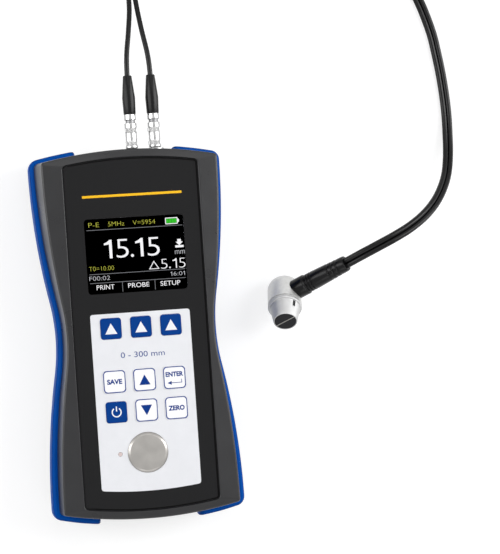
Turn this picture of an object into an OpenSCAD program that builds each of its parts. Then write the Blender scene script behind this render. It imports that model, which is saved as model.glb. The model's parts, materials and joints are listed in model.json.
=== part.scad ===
// Handheld ultrasonic thickness gauge with its twin lead and dual-element probe plugged in.
// The gauge lies on its back: X across, Y along with the sockets at +Y, Z out of the display.

/* [Housing] */
// Length of the shells along the centre line
shell_length = 185.6; // [180:0.2:192]
// Width of the shells near both ends
shell_width = 92.8; // [90:0.2:98]
// Width of the shells at the waist
waist_width = 76.6; // [74:0.2:80]
// Height from the back to the rim of the front panel
shell_height = 40; // [39:0.5:44]
// Radius of the waist's hollow
waist_radius = 100; // [70:5:140]
// Radius of the bowed top and bottom ends
end_radius = 210; // [180:5:260]
// Radius of the four corners
corner_radius = 2.7; // [2:0.1:4]
// Wall thickness of both shells
wall = 2.4; // [2:0.1:2.8]
// Thickness of the rear shell's floor
back_t = 3.4; // [3.2:0.1:4]
// Sideways reach of the rounding round the back
back_round = 4; // [3:0.5:5]
// Height of the rounding round the back
back_round_h = 6; // [4:0.5:7]

/* [Front face] */
// Draft of the front shell's sides at the ends
side_draft = 2.3; // [2:0.1:3.2]
// Draft of the front shell's sides at the waist
waist_draft = 1.2; // [1:0.1:1.6]
// Draft of the front shell's end walls
end_draft = 1; // [0.6:0.1:1.4]
// Radius of the edge between the sides and the wings
edge_radius = 1.2; // [0.8:0.1:1.5]
// Fall of the wings from the panel's rim, in degrees
wing_slope = 5; // [2:0.5:8]
// Width of the recessed front panel
panel_width = 68; // [66:0.2:68.4]
// Length of the recessed front panel along the centre line
panel_length = 175.8; // [173:0.2:177]
// Radius of the panel's bowed ends
panel_end_radius = 195; // [180:5:240]
// Radius of the panel's corners
panel_corner = 2.4; // [1.5:0.1:4]
// Depth of the panel below its rim
recess_depth = 1.3; // [1:0.1:1.6]
// Width of the recess's sloped wall, seen from the front
recess_slope = 0.45; // [0.3:0.05:1.2]
// Thickness of the front wall under the panel
roof_t = 2.5; // [2.2:0.1:3]

/* [Bumpers] */
// How far the bumpers stand out from the shells
bumper_proud = 2.15; // [1.8:0.05:3]
// Depth of the channel that a bumper sits in
bumper_seat = 1; // [0.8:0.1:1.2]
// Height of a bumper's lower edge at the waist
bumper_low = 10; // [8:0.5:11]
// Height of a bumper's upper edge at the waist
bumper_high = 24.5; // [22:0.5:26]
// Fall of the bumpers towards the top end, in degrees
bumper_slope = 2.3; // [0:0.1:3]
// Where a bumper ends beside the centre line
bumper_end_x = 25; // [24:0.5:32]
// Rounding of a bumper's edges
bumper_round = 1.7; // [1.2:0.1:2]
// Crown of a bumper's outer side
bumper_crown = 0.4; // [0.2:0.1:0.6]

/* [Display] */
// Width of the clear window in the label
window_width = 49.8; // [48:0.2:52]
// Height of the clear window in the label
window_height = 37.3; // [36:0.1:39]
// Middle of the display along the gauge
window_y = 39.3; // [38:0.1:41]
// Corner radius of the window
window_corner = 1.7; // [1:0.1:3]
// Thickness of the window pane
pane_t = 1.4; // [1:0.1:1.6]
// Width of the pane's ledge
pane_ledge = 1.4; // [1:0.1:2]
// Width of the display module
module_width = 60.2; // [59:0.2:62]
// Height of the display module
module_height = 43; // [42:0.2:45]
// Thickness of the display module
module_t = 2.4; // [2:0.1:2.6]
// Thickness of the foam gasket in front of the display module
gasket_t = 0.3; // [0.2:0.1:0.5]

/* [Keypad] */
// Thickness of the printed front label
label_t = 0.4; // [0.2:0.05:0.5]
// Width of the keypad film
film_width = 49.8; // [49:0.2:56]
// Upper edge of the keypad film
film_top = 10.7; // [10:0.1:13]
// Lowest point of the keypad film, below the middle
film_bottom = 78; // [76:0.2:80]
// Thickness of the keypad film
film_t = 0.5; // [0.4:0.05:0.6]
// Corner radius of the keypad film
film_corner = 1.3; // [0.8:0.1:2]
// Spacing of the keys across the gauge
key_pitch = 15; // [14.2:0.1:16]
// Middle of the soft keys along the gauge
soft_row_y = 3.3; // [2:0.1:4]
// Middle of the upper function keys
upper_row_y = -23; // [-25:0.1:-21]
// Middle of the lower function keys
lower_row_y = -38.1; // [-39.5:0.1:-37]
// Side of a blue key
blue_key = 10.2; // [9:0.1:11.4]
// Side of a white key
white_key = 11.4; // [10:0.1:12]
// Corner radius of the keys
key_corner = 1.3; // [0.8:0.1:1.8]
// How far a key stands out from the film
key_proud = 0.4; // [0.3:0.05:0.5]
// Travel of a key
key_travel = 0.4; // [0.2:0.05:0.4]
// Thickness of a key's cap
key_cap_t = 0.45; // [0.4:0.05:0.5]
// Diameter of the stem under a key
stem_d = 5; // [4:0.1:6]
// Diameter of a snap dome on the board
dome_d = 6; // [5:0.1:7]
// Height of a snap dome
dome_h = 0.9; // [0.6:0.1:1]

/* [Zero disc and lamp] */
// Diameter of the steel zero disc
disc_d = 20; // [18:0.2:22]
// Thickness of the zero disc
disc_t = 4; // [3.4:0.1:4.4]
// Chamfer of the zero disc
disc_chamfer = 0.7; // [0.3:0.1:1]
// Place of the zero disc across the gauge
disc_x = -0.7; // [-1.5:0.1:1.5]
// Middle of the zero disc along the gauge
disc_y = -59; // [-61:0.1:-57]
// Gap between the status lamp's foot and the zero disc's cup
lamp_gap = 0.2; // [0.2:0.1:2]
// Diameter of the status lamp
lamp_d = 2; // [1.4:0.1:2.6]

/* [Board] */
// Thickness of the circuit board
board_t = 1.6; // [1.2:0.1:1.8]
// Half the width of the circuit board
board_half = 30.5; // [30:0.1:31.5]
// Distance of the circuit board from the top end
board_top_edge = 16.8; // [15:0.2:18]
// Distance of the circuit board from the bottom end
board_bottom_edge = 21.8; // [19:0.2:22.8]
// Width of the pulser's shield can
shield_width = 30; // [26:0.5:34]
// Length of the pulser's shield can
shield_length = 24; // [20:0.5:28]
// Height of the pulser's shield can
shield_height = 4.5; // [3:0.1:5]
// Distance of the shield can from the board's upper end
shield_edge = 8; // [6:0.5:10]
// Place of the shield can across the board
shield_x = 10; // [9:0.5:11]
// Width of the radio module
radio_width = 12; // [10:0.5:14]
// Length of the radio module
radio_length = 18; // [15:0.5:20]
// Height of the radio module
radio_height = 2.2; // [1.8:0.1:3]
// Distance of the radio module from the board's upper end
radio_edge = 17; // [15:0.5:20]
// Place of the radio module across the board
radio_x = -20; // [-21:0.5:-19]
// Distance of the board's screws from its edges
board_screw_inset = 5; // [4:0.1:5.5]
// Diameter of the board's screws
board_screw_d = 2.5; // [2:0.1:2.6]

/* [Fasteners] */
// Diameter of the case screws
case_screw_d = 3; // [2.6:0.1:3.4]
// Length of a case screw's shank
case_screw_length = 16; // [14:0.5:18]
// Depth of the case screws' heads in the back
case_screw_depth = 10; // [8:0.5:12]
// Distance of the case screws from the sides
case_screw_side = 8; // [7.6:0.1:8.4]
// Distance of the case screws from the ends
case_screw_end = 11.8; // [11.4:0.2:13]

/* [Battery] */
// Diameter of a cell
cell_d = 14.2; // [13.8:0.1:14.5]
// Length of a cell with its button
cell_length = 50.2; // [49.2:0.1:50.5]
// Spacing of the cells
cell_pitch = 14.6; // [14.5:0.1:14.8]
// Distance of the battery bay from the bottom end
bay_edge = 17.8; // [16.6:0.2:20]
// Room for the contacts at each end of the cells
contact_room = 3; // [2.5:0.1:4]
// Thickness of the bay's walls
bay_wall = 1.6; // [1.2:0.1:2]
// Thickness of the battery door
door_t = 2; // [1.8:0.1:2.2]
// Depth of the battery door below the back
door_sink = 0.4; // [0.3:0.1:0.5]
// Width of the door's side tongues
tongue_w = 1.5; // [1:0.1:2]
// Thickness of the door's side tongues
tongue_t = 1; // [0.8:0.1:1.2]
// How far the door reaches past the battery bay
door_lap = 3.4; // [2.4:0.1:4]
// Width of the door's grip grooves
grip_width = 24; // [18:0.5:36]
// Spacing of the door's grip grooves
grip_pitch = 2.4; // [2:0.1:3]
// Depth of the door's grip grooves
grip_depth = 0.6; // [0.4:0.1:0.8]
// Distance of the first grip groove from the bottom end
grip_edge = 22; // [16:0.5:30]

/* [Sockets and plugs] */
// Place of the first socket across the gauge
socket_x = 3.2; // [2:0.1:5]
// Spacing of the two sockets
socket_pitch = 11.7; // [11.4:0.1:12.5]
// Height of the sockets
socket_z = 27; // [26.6:0.1:27.4]
// Diameter of a socket's front flange
socket_flange_d = 8.6; // [8.2:0.1:9.4]
// Diameter of a socket's threaded shank
socket_shank_d = 6.8; // [6.6:0.1:7.2]
// Diameter of a socket's bore
socket_bore_d = 5.2; // [5.1:0.05:5.4]
// Length of a socket's shank inside the housing
socket_length = 10; // [9.4:0.1:12]
// Depth of a socket's bore inside the housing
socket_depth = 7.6; // [7:0.1:8]
// Thickness of the wall that the sockets are screwed to
socket_wall = 3.4; // [3:0.1:3.6]
// Thickness of a socket's hexagon nut
socket_nut_t = 2; // [1.6:0.1:2.4]
// Length of a plug's release sleeve
sleeve_length = 12.7; // [11:0.1:13.5]
// Diameter of a plug's release sleeve
sleeve_d = 6.3; // [6:0.1:7]
// Travel of a plug's release sleeve
sleeve_travel = 1; // [0.6:0.1:1.2]
// Diameter of a plug's back nut
plug_nut_d = 5.9; // [5.6:0.1:6.4]
// Length of a plug's back nut
plug_nut_length = 3; // [2.5:0.1:4]
// Length of a plug's boot
boot_length = 19.5; // [16:0.5:22]
// Diameter of a plug's boot at the nut
boot_d = 6.6; // [6:0.1:7]
// Diameter of a plug's boot at the cable
boot_tip_d = 4.2; // [3.8:0.1:5]

/* [Lead] */
// Diameter of each core of the twin lead
cable_d = 2.6; // [2.4:0.1:2.8]
// Length of the moulded splitter
splitter_length = 12; // [10:0.5:12]

/* [Probe] */
// Diameter of the probe's head
probe_d = 17.4; // [16.4:0.2:18]
// Length of the probe's head from face to back
probe_length = 28; // [26:0.5:30]
// Rounding of the head's back
probe_round = 6.5; // [5:0.5:7]
// Height of the nose ring from the face
nose_length = 10.9; // [10:0.1:12.2]
// Height of the tapered nose from the face
taper_length = 9; // [7:0.1:9.4]
// Diameter of the nose where its taper starts
taper_d = 15.4; // [14:0.1:16]
// Diameter of the nose's rim at the face
rim_d = 12.2; // [11.8:0.1:13]
// Diameter of the contact face
face_d = 11; // [10:0.1:11.2]
// Thickness of the sound barrier between the two elements
barrier_t = 0.5; // [0.3:0.1:0.8]
// Height of the lead's outlet from the face
outlet_height = 18.3; // [17.4:0.1:18.6]
// Diameter of the probe boot's collar
collar_d = 9.5; // [9:0.1:9.8]
// Length of the probe boot's collar
collar_length = 5; // [4:0.1:6]
// Spacing of the boot's grooves
groove_pitch = 1.6; // [1.4:0.1:1.8]
// Depth of the boot's grooves
groove_depth = 0.6; // [0.3:0.1:0.8]
// Spacing of the shallow grooves near the boot's end
tail_groove_pitch = 2.7; // [2.2:0.1:3]
// Depth of the shallow grooves near the boot's end
tail_groove_depth = 0.4; // [0.2:0.1:0.5]
// Distance of the last shallow groove from the boot's end
tail_groove_edge = 4; // [3:0.5:5]
// Length of the probe's boot
probe_boot_length = 30; // [26:0.5:32]
// Diameter of the probe's boot at the lead
probe_boot_tip = 6.8; // [6.6:0.1:7.6]

/* [Clearances] */
// Gap between parts that slide
slide_fit = 0.1; // [0.05:0.01:0.12]
// Radial gap of a sleeve on its plug
sleeve_fit = 0.05; // [0.03:0.01:0.08]
// Gap round a key
key_gap = 0.2; // [0.15:0.05:0.3]
// Gap round a key's stem
stem_gap = 0.3; // [0.3:0.05:0.5]
// Gap round parts that are laid or bonded in place
seat_gap = 0.1; // [0.05:0.01:0.15]
// Radial gap of a screw in its pilot hole
pilot_gap = 0.05; // [0.03:0.01:0.1]
// Gap between a moving part and its stop
stop_gap = 0.3; // [0.2:0.05:0.4]

/* [Hidden] */
$fn = 48;
KEYS = ["key_soft_left", "key_soft_middle", "key_soft_right", "key_save", "key_up", "key_enter",
    "key_power", "key_down", "key_zero"];

// Colours
shell_grey = [0.24, 0.24, 0.25];
bumper_blue = [0.02, 0.28, 0.62];
label_black = [0.15, 0.15, 0.16];
film_white = [0.92, 0.92, 0.93];
steel = [0.68, 0.67, 0.65];
brass = [0.8, 0.65, 0.35];
board_green = [0.1, 0.35, 0.2];
cable_black = [0.06, 0.06, 0.06];

// Levels through the housing
half_length = shell_length / 2;
half_end = shell_width / 2;
half_waist = waist_width / 2;
parting_z = shell_height / 2;
panel_z = shell_height - recess_depth;
roof_z = panel_z - roof_t;
film_z = panel_z + film_t;
module_z = roof_z - gasket_t - module_t;
board_z = module_z - board_t;
overcut = 1;

// Housing outlines, as half widths and half lengths
front_cavity_waist = half_waist - waist_draft - wall;
front_cavity_end = half_end - side_draft - wall;
front_cavity_length = half_length - end_draft - wall;
rear_cavity_waist = half_waist - bumper_seat - wall;
rear_cavity_end = half_end - bumper_seat - wall;
rear_cavity_length = half_length - bumper_seat - wall;
screw_x = half_end - case_screw_side;
screw_y = half_length - case_screw_end;
boss_d = 2 * case_screw_d + 1;
head_d = 1.8 * case_screw_d;
head_t = 0.8 * case_screw_d;
board_top = half_length - board_top_edge;
board_bottom = half_length - board_bottom_edge;
board_boss_d = board_screw_d + 3;
board_pilot = 0.6;
disc_cup_wall = 2;
disc_cup_floor = 1.5;
lamp_foot_r = 0.8 * lamp_d;
lamp_x = disc_x - disc_d / 2 - disc_cup_wall - lamp_foot_r - lamp_gap;

// Battery bay and door
button_t = 1.2;
button_d = 5.4;
plate_t = 0.6;
spring_wire = 0.7;
spring_h = 2 * contact_room - plate_t;
cell_gap = 0.4;
bay_half = 1.5 * cell_pitch + cell_d / 2 + cell_gap;
bay_y0 = bay_edge - half_length;
bay_y1 = bay_y0 + cell_length + 2 * contact_room;
door_top_z = door_sink + door_t;
cell_z = door_top_z + stop_gap + cell_d / 2;
bay_roof_z = cell_z + cell_d / 2 + stop_gap;
door_y = bay_y1 + door_lap;

// Sockets and plugs, measured along Y from the flat that the sockets sit on
flat_sink = 0.4;
socket_flat = half_length - end_draft - flat_sink;
socket_pad = socket_flat - socket_wall;
socket_margin = 6.4;
flange_t = 0.9;
plug_gap = 0.4;
sleeve_start = flange_t + plug_gap;
nut_start = sleeve_start + sleeve_length + sleeve_travel + plug_gap;
boot_start = nut_start + plug_nut_length;
plug_r = socket_bore_d / 2 - seat_gap;
barrel_r = plug_r - 0.2;
plug_depth = socket_depth - stop_gap;
cable_bore = cable_d / 2 + 2 * seat_gap;
contact_r = 1.25;
contact_reach = 3;
pin_r = 0.5;
pin_depth = 6;
plug_bore_r = 1.9;
plug_seat = 1.5;
wire_r = 0.8;

// Probe on the table: the face's centre, the turn of the head and the lift off its rounded back
probe_turn = [-145, -34.5, 26.5];
probe_face_xy = [76.3, 0.6];
probe_tilt = abs(cos(probe_turn[0]) * cos(probe_turn[1]));
probe_lift = (probe_length - probe_round) * probe_tilt
    + (probe_d / 2 - probe_round) * sqrt(1 - probe_tilt * probe_tilt) + probe_round;
outlet_land = 0.2;
boot_seat = probe_d / 2 + outlet_land;

// Lead: two tails run from the plugs to the splitter, and one twin lead from there by a coil to the probe
tail_ends = [[8.7, 198, 2.1], [11.3, 198, 2.1]];
tail_route_1 = [[3.8, 140, 26.3], [5.8, 152, 23.8], [7.6, 164, 19.5], [8.3, 176, 13], [8.6, 188, 6]];
tail_route_2 = [[14.3, 140, 26.3], [12.6, 152, 23.8], [11.5, 164, 19.5], [11.2, 176, 13], [11.2, 188, 6]];
splitter_at = [10, 198, 2.1];
splitter_margin = 1.5;
out_route = [[11, 221, 1.5], [16.5, 235, 1.4], [29, 246, 1.4], [46, 251.5, 1.4], [66, 253, 1.4],
    [84, 253, 1.4]];
coil_centre = [92, 215];
coil_inner = 20;
coil_outer = 38;
coil_height = 5.4;
coil_round = 2.2;
back_route = [[114.7, 31.6, 36.8], [122.8, 35.4, 39.3], [132, 39.6, 39.8], [141, 44, 37.4], [150, 49.5, 32.5],
    [158, 56, 26], [164.5, 63.5, 19], [169.5, 72, 12], [172.5, 82, 6.5], [174, 93, 3], [174.5, 105, 1.5],
    [173.5, 120, 1.4], [171.5, 135, 1.4], [168.5, 150, 1.4], [161, 170, 1.4], [148, 188, 1.4],
    [135, 202, 1.4], [129, 214, 1.4]];

// Half of an hourglass outline, from the bottom end round the right side to the top end.
// The sides are a hollow waist arc between two full arcs, the ends are bowed, and the corners are round.
function side_x(y, waist, end, y1, hollow) =
    end - waist < 0.05 ? end :
    let (drop = end - waist, span = (drop * drop + y1 * y1) / (2 * drop), full = span - hollow)
    abs(y) < hollow * y1 / span
        ? waist + hollow - sqrt(hollow * hollow - y * y)
        : end - full + sqrt(full * full - (y1 - abs(y)) * (y1 - abs(y)));

function half_outline(waist, end, length, corner, hollow, bow, stop_x = 0,
        steps = [1 / 6 : 1 / 6 : 1.01]) =
    let (bow_y = length - bow,
        y1 = bow_y + sqrt(pow(bow - corner, 2) - pow(end - corner, 2)),
        turn = atan2(y1 - bow_y, end - corner),
        last = acos(stop_x / bow),
        top = concat(
            [for (i = [1 : 4]) let (a = turn * i / 4)
                [end - corner + corner * cos(a), y1 + corner * sin(a)]],
            [for (s = steps) let (a = turn + (last - turn) * s) [bow * cos(a), bow_y + bow * sin(a)]]),
        side = [for (i = [-12 : 12]) let (y = y1 * i / 12) [side_x(y, waist, end, y1, hollow), y]],
        count = len(top))
    concat([for (i = [count - 1 : -1 : 0]) [top[i][0], -top[i][1]]], side, top);

// The shells' outline, moved in by separate amounts at the waist, the sides and the ends
function shell_half(waist_in, side_in, end_in) =
    half_outline(half_waist - waist_in, half_end - side_in, half_length - end_in,
        max(corner_radius - min(side_in, end_in), 1), waist_radius + waist_in, end_radius - end_in);

function panel_half(inset) =
    half_outline(panel_width / 2 - inset, panel_width / 2 - inset, panel_length / 2 - inset,
        max(panel_corner - inset, 0.5), waist_radius, panel_end_radius);

// A bumper's path along the shells, moved out by an amount, ending beside the centre line
bumper_steps = [0.3, 0.6, 0.8, 0.9, 0.96, 1];
function bumper_half(out) =
    half_outline(half_waist + out, half_end + out, half_length + out, corner_radius + out,
        waist_radius - out, end_radius + out, bumper_end_x, bumper_steps);

function at_height(points, z) = [for (p = points) [p[0], p[1], z]];
function closed(half) =
    concat(half, [for (i = [len(half) - 2 : -1 : 1]) [-half[i][0], half[i][1], half[i][2]]]);
function flat(half) = [for (p = closed(at_height(half, 0))) [p[0], p[1]]];

// A rounded rectangle's corners, from arcs
function rounded(w, h, r) =
    [for (q = [0 : 3]) for (i = [0 : 5]) let (a = 90 * q + 18 * i,
        x = (w / 2 - r) * (q == 0 || q == 3 ? 1 : -1),
        y = (h / 2 - r) * (q < 2 ? 1 : -1)) [x + r * cos(a), y + r * sin(a)]];

module block(w, h, r, z0, z1, at = [0, 0]) {
    translate([at[0], at[1], z0])
        linear_extrude(z1 - z0)
            polygon(rounded(w, h, r));
}

module rod(d, z0, z1, at = [0, 0]) {
    translate([at[0], at[1], z0])
        cylinder(d = d, h = z1 - z0);
}

// A solid through closed rings that are mirrored left and right
module loft(halves) {
    count = len(halves[0]);
    around = 2 * count - 2;
    levels = len(halves);
    top = (levels - 1) * around;
    sides = [for (k = [0 : levels - 2]) for (i = [0 : around - 1])
        let (j = (i + 1) % around, a = k * around, b = a + around)
        each [[a + i, b + i, b + j], [a + i, b + j, a + j]]];
    strips = [for (i = [1 : count - 3]) [i, i + 1, around - i - 1, around - i]];
    tips = [[0, 1, around - 1], [count - 2, count - 1, count]];
    base = concat(strips, tips);
    lid = [for (f = base) [for (i = [len(f) - 1 : -1 : 0]) f[i] + top]];
    polyhedron([for (h = halves) each closed(h)], concat(sides, base, lid));
}

// A solid through closed sections along a path, with flat end caps
module skin(sections) {
    around = len(sections[0]);
    last = (len(sections) - 1) * around;
    sides = [for (k = [0 : len(sections) - 2]) for (i = [0 : around - 1])
        let (j = (i + 1) % around, a = k * around, b = a + around)
        each [[a + i, a + j, b + j], [a + i, b + j, b + i]]];
    caps = [[for (i = [around - 1 : -1 : 0]) i], [for (i = [0 : around - 1]) last + i]];
    polyhedron([for (s = sections) each s], concat(sides, caps));
}

// Rounded route through given points, and a round or flat cord along it
function unit(v) = v / norm(v);
function route(points, parts = 2) =
    let (last = len(points) - 1)
    concat([for (i = [0 : last - 1]) for (s = [0 : parts - 1])
        let (t = s / parts, a = points[max(i - 1, 0)], b = points[i], c = points[i + 1],
            d = points[min(i + 2, last)])
        0.5 * (2 * b + (c - a) * t + (2 * a - 5 * b + 4 * c - d) * t * t
            + (3 * b - a - 3 * c + d) * t * t * t)], [points[last]]);

module cord(points, width, height) {
    last = len(points) - 1;
    sections = [for (i = [0 : last])
        let (along = unit(points[min(i + 1, last)] - points[max(i - 1, 0)]),
            across = unit(cross(along, [0, 0, 1])),
            up = cross(across, along))
        [for (a = [0 : 45 : 315]) points[i] + across * width / 2 * cos(a) + up * height / 2 * sin(a)]];
    skin(sections);
}

module turned(profile) {
    rotate_extrude()
        polygon(profile);
}

// Puts a part that is turned about Z on a socket's axis, pointing out of the housing
module on_socket(index) {
    translate([socket_x + index * socket_pitch, socket_flat, socket_z])
        rotate([-90, 0, 0])
            children();
}

module on_probe() {
    translate([probe_face_xy[0], probe_face_xy[1], probe_lift])
        rotate(probe_turn)
            children();
}

module on_probe_outlet() {
    on_probe()
        translate([boot_seat, 0, outlet_height])
            rotate([0, 90, 0])
                children();
}

module at_case_screws() {
    for (x = [-screw_x, screw_x]) {
        for (y = [-screw_y, screw_y]) {
            translate([x, y, 0])
                children();
        }
    }
}

module at_board_screws() {
    for (x = [-1, 1]) {
        for (y = [board_top - board_screw_inset, board_screw_inset - board_bottom]) {
            translate([x * (board_half - board_screw_inset), y, 0])
                children();
        }
    }
}

// Key places, row by row, and the side of each key
key_rows = [soft_row_y, upper_row_y, lower_row_y];
function key_at(index) = [(index % 3 - 1) * key_pitch, key_rows[floor(index / 3)]];
function key_side(index) = index < 3 || index == 6 ? blue_key : white_key;

// Turns a level bumper, or its channel, so that it falls towards the top end
module on_bumper_slope() {
    pivot = (bumper_low + bumper_high) / 2;
    translate([0, 0, pivot])
        rotate([-bumper_slope, 0, 0])
            translate([0, 0, -pivot])
                children();
}

// Channels for the two bumpers, cut to the bumpers' own inner faces
module bumper_channels() {
    inner = bumper_half(-bumper_seat);
    outer = bumper_half(2 * bumper_proud);
    ribbon = concat(inner, [for (i = [len(outer) - 1 : -1 : 0]) outer[i]]);
    for (side = [0, 1]) {
        mirror([side, 0, 0])
            on_bumper_slope()
                translate([0, 0, bumper_low])
                    linear_extrude(bumper_high - bumper_low)
                        polygon(ribbon);
    }
}

function front_rings() =
    let (rim = panel_half(0),
        edge = shell_half(waist_draft + edge_radius, side_draft + edge_radius, end_draft + edge_radius),
        bend = shell_half(waist_draft + 0.3 * edge_radius, side_draft + 0.3 * edge_radius,
            end_draft + 0.3 * edge_radius),
        wall_top = shell_half(waist_draft, side_draft, end_draft),
        fall = [for (i = [0 : len(rim) - 1]) shell_height - tan(wing_slope) * norm(edge[i] - rim[i])])
    [at_height(shell_half(0, 0, 0), parting_z),
        [for (i = [0 : len(rim) - 1]) [wall_top[i][0], wall_top[i][1], fall[i] - edge_radius]],
        [for (i = [0 : len(rim) - 1]) [bend[i][0], bend[i][1], fall[i] - 0.3 * edge_radius]],
        [for (i = [0 : len(rim) - 1]) [edge[i][0], edge[i][1], fall[i]]],
        at_height(rim, shell_height),
        at_height(panel_half(recess_slope), panel_z)];

function rear_rings() =
    concat([for (a = [0 : 30 : 90]) let (inset = back_round * (1 - sin(a)))
        at_height(shell_half(inset, inset, inset), back_round_h * (1 - cos(a)))],
        [at_height(shell_half(0, 0, 0), parting_z)]);

module front_shell() {
    pane_w = window_width + 2 * pane_ledge;
    pane_h = window_height + 2 * pane_ledge;
    disc_seat = shell_height - disc_t;
    color(shell_grey)
    difference() {
        union() {
            difference() {
                loft(front_rings());
                translate([0, 0, parting_z - overcut])
                    linear_extrude(roof_z - parting_z + overcut)
                        polygon(flat(half_outline(front_cavity_waist, front_cavity_end,
                            front_cavity_length, 1, waist_radius, end_radius)));
            }
            at_case_screws()
                rod(boss_d, parting_z, roof_z + overcut);
            at_board_screws()
                rod(board_boss_d, module_z, roof_z + overcut);
            rod(disc_d + 2 * disc_cup_wall, disc_seat - disc_cup_floor, roof_z + overcut, [disc_x, disc_y]);
            translate([socket_x - socket_margin, socket_pad, parting_z + overcut])
                cube([socket_pitch + 2 * socket_margin, half_length - end_draft - wall / 2 - socket_pad,
                    roof_z - parting_z]);
        }
        bumper_channels();
        at_case_screws()
            rod(case_screw_d + 2 * pilot_gap, parting_z - overcut,
                case_screw_depth + case_screw_length + overcut);
        at_board_screws()
            rod(board_screw_d + 2 * pilot_gap, module_z - overcut, roof_z + board_pilot);
        block(pane_w + 2 * seat_gap, pane_h + 2 * seat_gap, window_corner, panel_z - pane_t,
            panel_z + overcut, [0, window_y]);
        block(window_width, window_height, window_corner, roof_z - overcut, panel_z, [0, window_y]);
        for (i = [0 : 8]) {
            rod(stem_d + 2 * stem_gap, roof_z - overcut, panel_z + overcut, key_at(i));
        }
        rod(disc_d + 2 * seat_gap, disc_seat, shell_height, [disc_x, disc_y]);
        rod(lamp_d + 2 * seat_gap, roof_z - overcut, shell_height, [lamp_x, disc_y]);
        for (i = [0, 1]) {
            on_socket(i) {
                cylinder(d = socket_flange_d + 4 * seat_gap, h = end_draft + flat_sink + overcut);
                translate([0, 0, -socket_wall - overcut])
                    cylinder(d = socket_shank_d + 2 * seat_gap, h = socket_wall + 2 * overcut);
            }
        }
    }
}

module rear_shell() {
    rail_half = bay_half + tongue_w + slide_fit;
    door_run = half_length + overcut + door_y + slide_fit;
    color(shell_grey)
    difference() {
        union() {
            difference() {
                loft(rear_rings());
                translate([0, 0, back_t])
                    linear_extrude(parting_z)
                        polygon(flat(half_outline(rear_cavity_waist, rear_cavity_end,
                            rear_cavity_length, 1, waist_radius, end_radius)));
            }
            at_case_screws()
                rod(boss_d, back_t - overcut, parting_z);
            translate([-bay_half - bay_wall, bay_y0 - bay_wall, back_t - overcut])
                cube([2 * (bay_half + bay_wall), bay_y1 - bay_y0 + 2 * bay_wall,
                    bay_roof_z + bay_wall - back_t + overcut]);
        }
        bumper_channels();
        at_case_screws() {
            rod(head_d + 2 * stop_gap, -overcut, case_screw_depth);
            rod(case_screw_d + 2 * slide_fit, -overcut, parting_z + overcut);
        }
        translate([-bay_half, bay_y0, -overcut])
            cube([2 * bay_half, bay_y1 - bay_y0, bay_roof_z + overcut]);
        translate([-bay_half - slide_fit, -half_length - overcut, -overcut])
            cube([2 * (bay_half + slide_fit), door_run, door_top_z + slide_fit + overcut]);
        translate([-rail_half, -half_length - overcut, door_top_z - tongue_t - slide_fit])
            cube([2 * rail_half, door_run, tongue_t + 2 * slide_fit]);
    }
}

// A bumper is a crowned strip that thins out at both ends
module bumper() {
    body = bumper_proud - bumper_crown;
    low = [for (a = [0 : 45 : 90])
        [body - bumper_round * (1 - sin(a)), bumper_low + bumper_round * (1 - cos(a))]];
    high = [for (p = [low[2], low[1], low[0]]) [p[0], bumper_high + bumper_low - p[1]]];
    profile = concat(low, [[bumper_proud, (bumper_low + bumper_high) / 2]], high);
    path_length = len(bumper_half(0));
    thin = [0.6, 0.9, 1];
    function fade(i) =
        let (from_end = min(i, path_length - 1 - i))
        from_end < len(thin) ? thin[from_end] : 1;
    inner = bumper_half(-bumper_seat);
    outlines = [for (p = profile) bumper_half(p[0])];
    flush = bumper_half(0);
    sections = [for (i = [0 : path_length - 1]) concat(
        [[inner[i][0], inner[i][1], bumper_low]],
        [for (k = [0 : len(profile) - 1])
            let (p = flush[i] + (outlines[k][i] - flush[i]) * fade(i))
            [p[0], p[1], profile[k][1]]],
        [[inner[i][0], inner[i][1], bumper_high]])];
    color(bumper_blue)
    on_bumper_slope()
        skin(sections);
}

module bumper_right() {
    bumper();
}

module bumper_left() {
    mirror([1, 0, 0])
        bumper();
}

// Outline of the keypad film: straight sides and top, bowed bottom
module film_shape(grow) {
    offset(r = film_corner + grow)
        offset(delta = -film_corner)
            intersection() {
                polygon(flat(half_outline(film_width / 2, film_width / 2, film_bottom, film_corner,
                    waist_radius, panel_end_radius)));
                translate([-film_width, -film_bottom - overcut])
                    square([2 * film_width, film_top + film_bottom + overcut]);
            }
}

module front_label() {
    color(label_black)
    translate([0, 0, panel_z])
        linear_extrude(label_t)
            difference() {
                polygon(flat(panel_half(recess_slope + seat_gap)));
                translate([0, window_y])
                    polygon(rounded(window_width, window_height, window_corner));
                film_shape(seat_gap);
            }
}

module display_window() {
    color([0.1, 0.1, 0.12, 0.5])
        block(window_width + 2 * pane_ledge, window_height + 2 * pane_ledge, window_corner, panel_z - pane_t,
            panel_z, [0, window_y]);
}

module display_module() {
    color([0.05, 0.05, 0.06])
        block(module_width, module_height, 0.6, module_z, module_z + module_t, [0, window_y]);
}

module display_gasket() {
    color([0.1, 0.1, 0.1])
    difference() {
        block(module_width - 2, module_height - 2, 0.6, roof_z - gasket_t, roof_z, [0, window_y]);
        block(window_width, window_height, window_corner, roof_z - overcut, roof_z + overcut, [0, window_y]);
    }
}

module keypad_film() {
    color(film_white)
    translate([0, 0, panel_z])
        linear_extrude(film_t)
            difference() {
                film_shape(0);
                for (i = [0 : 8]) {
                    hole = key_side(i) + 2 * key_gap;
                    translate(key_at(i))
                        polygon(rounded(hole, hole, key_corner + key_gap));
                }
                translate([disc_x, disc_y])
                    circle(d = disc_d + 2 * seat_gap);
                translate([lamp_x, disc_y])
                    circle(d = lamp_d + 2 * seat_gap);
            }
}

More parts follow.
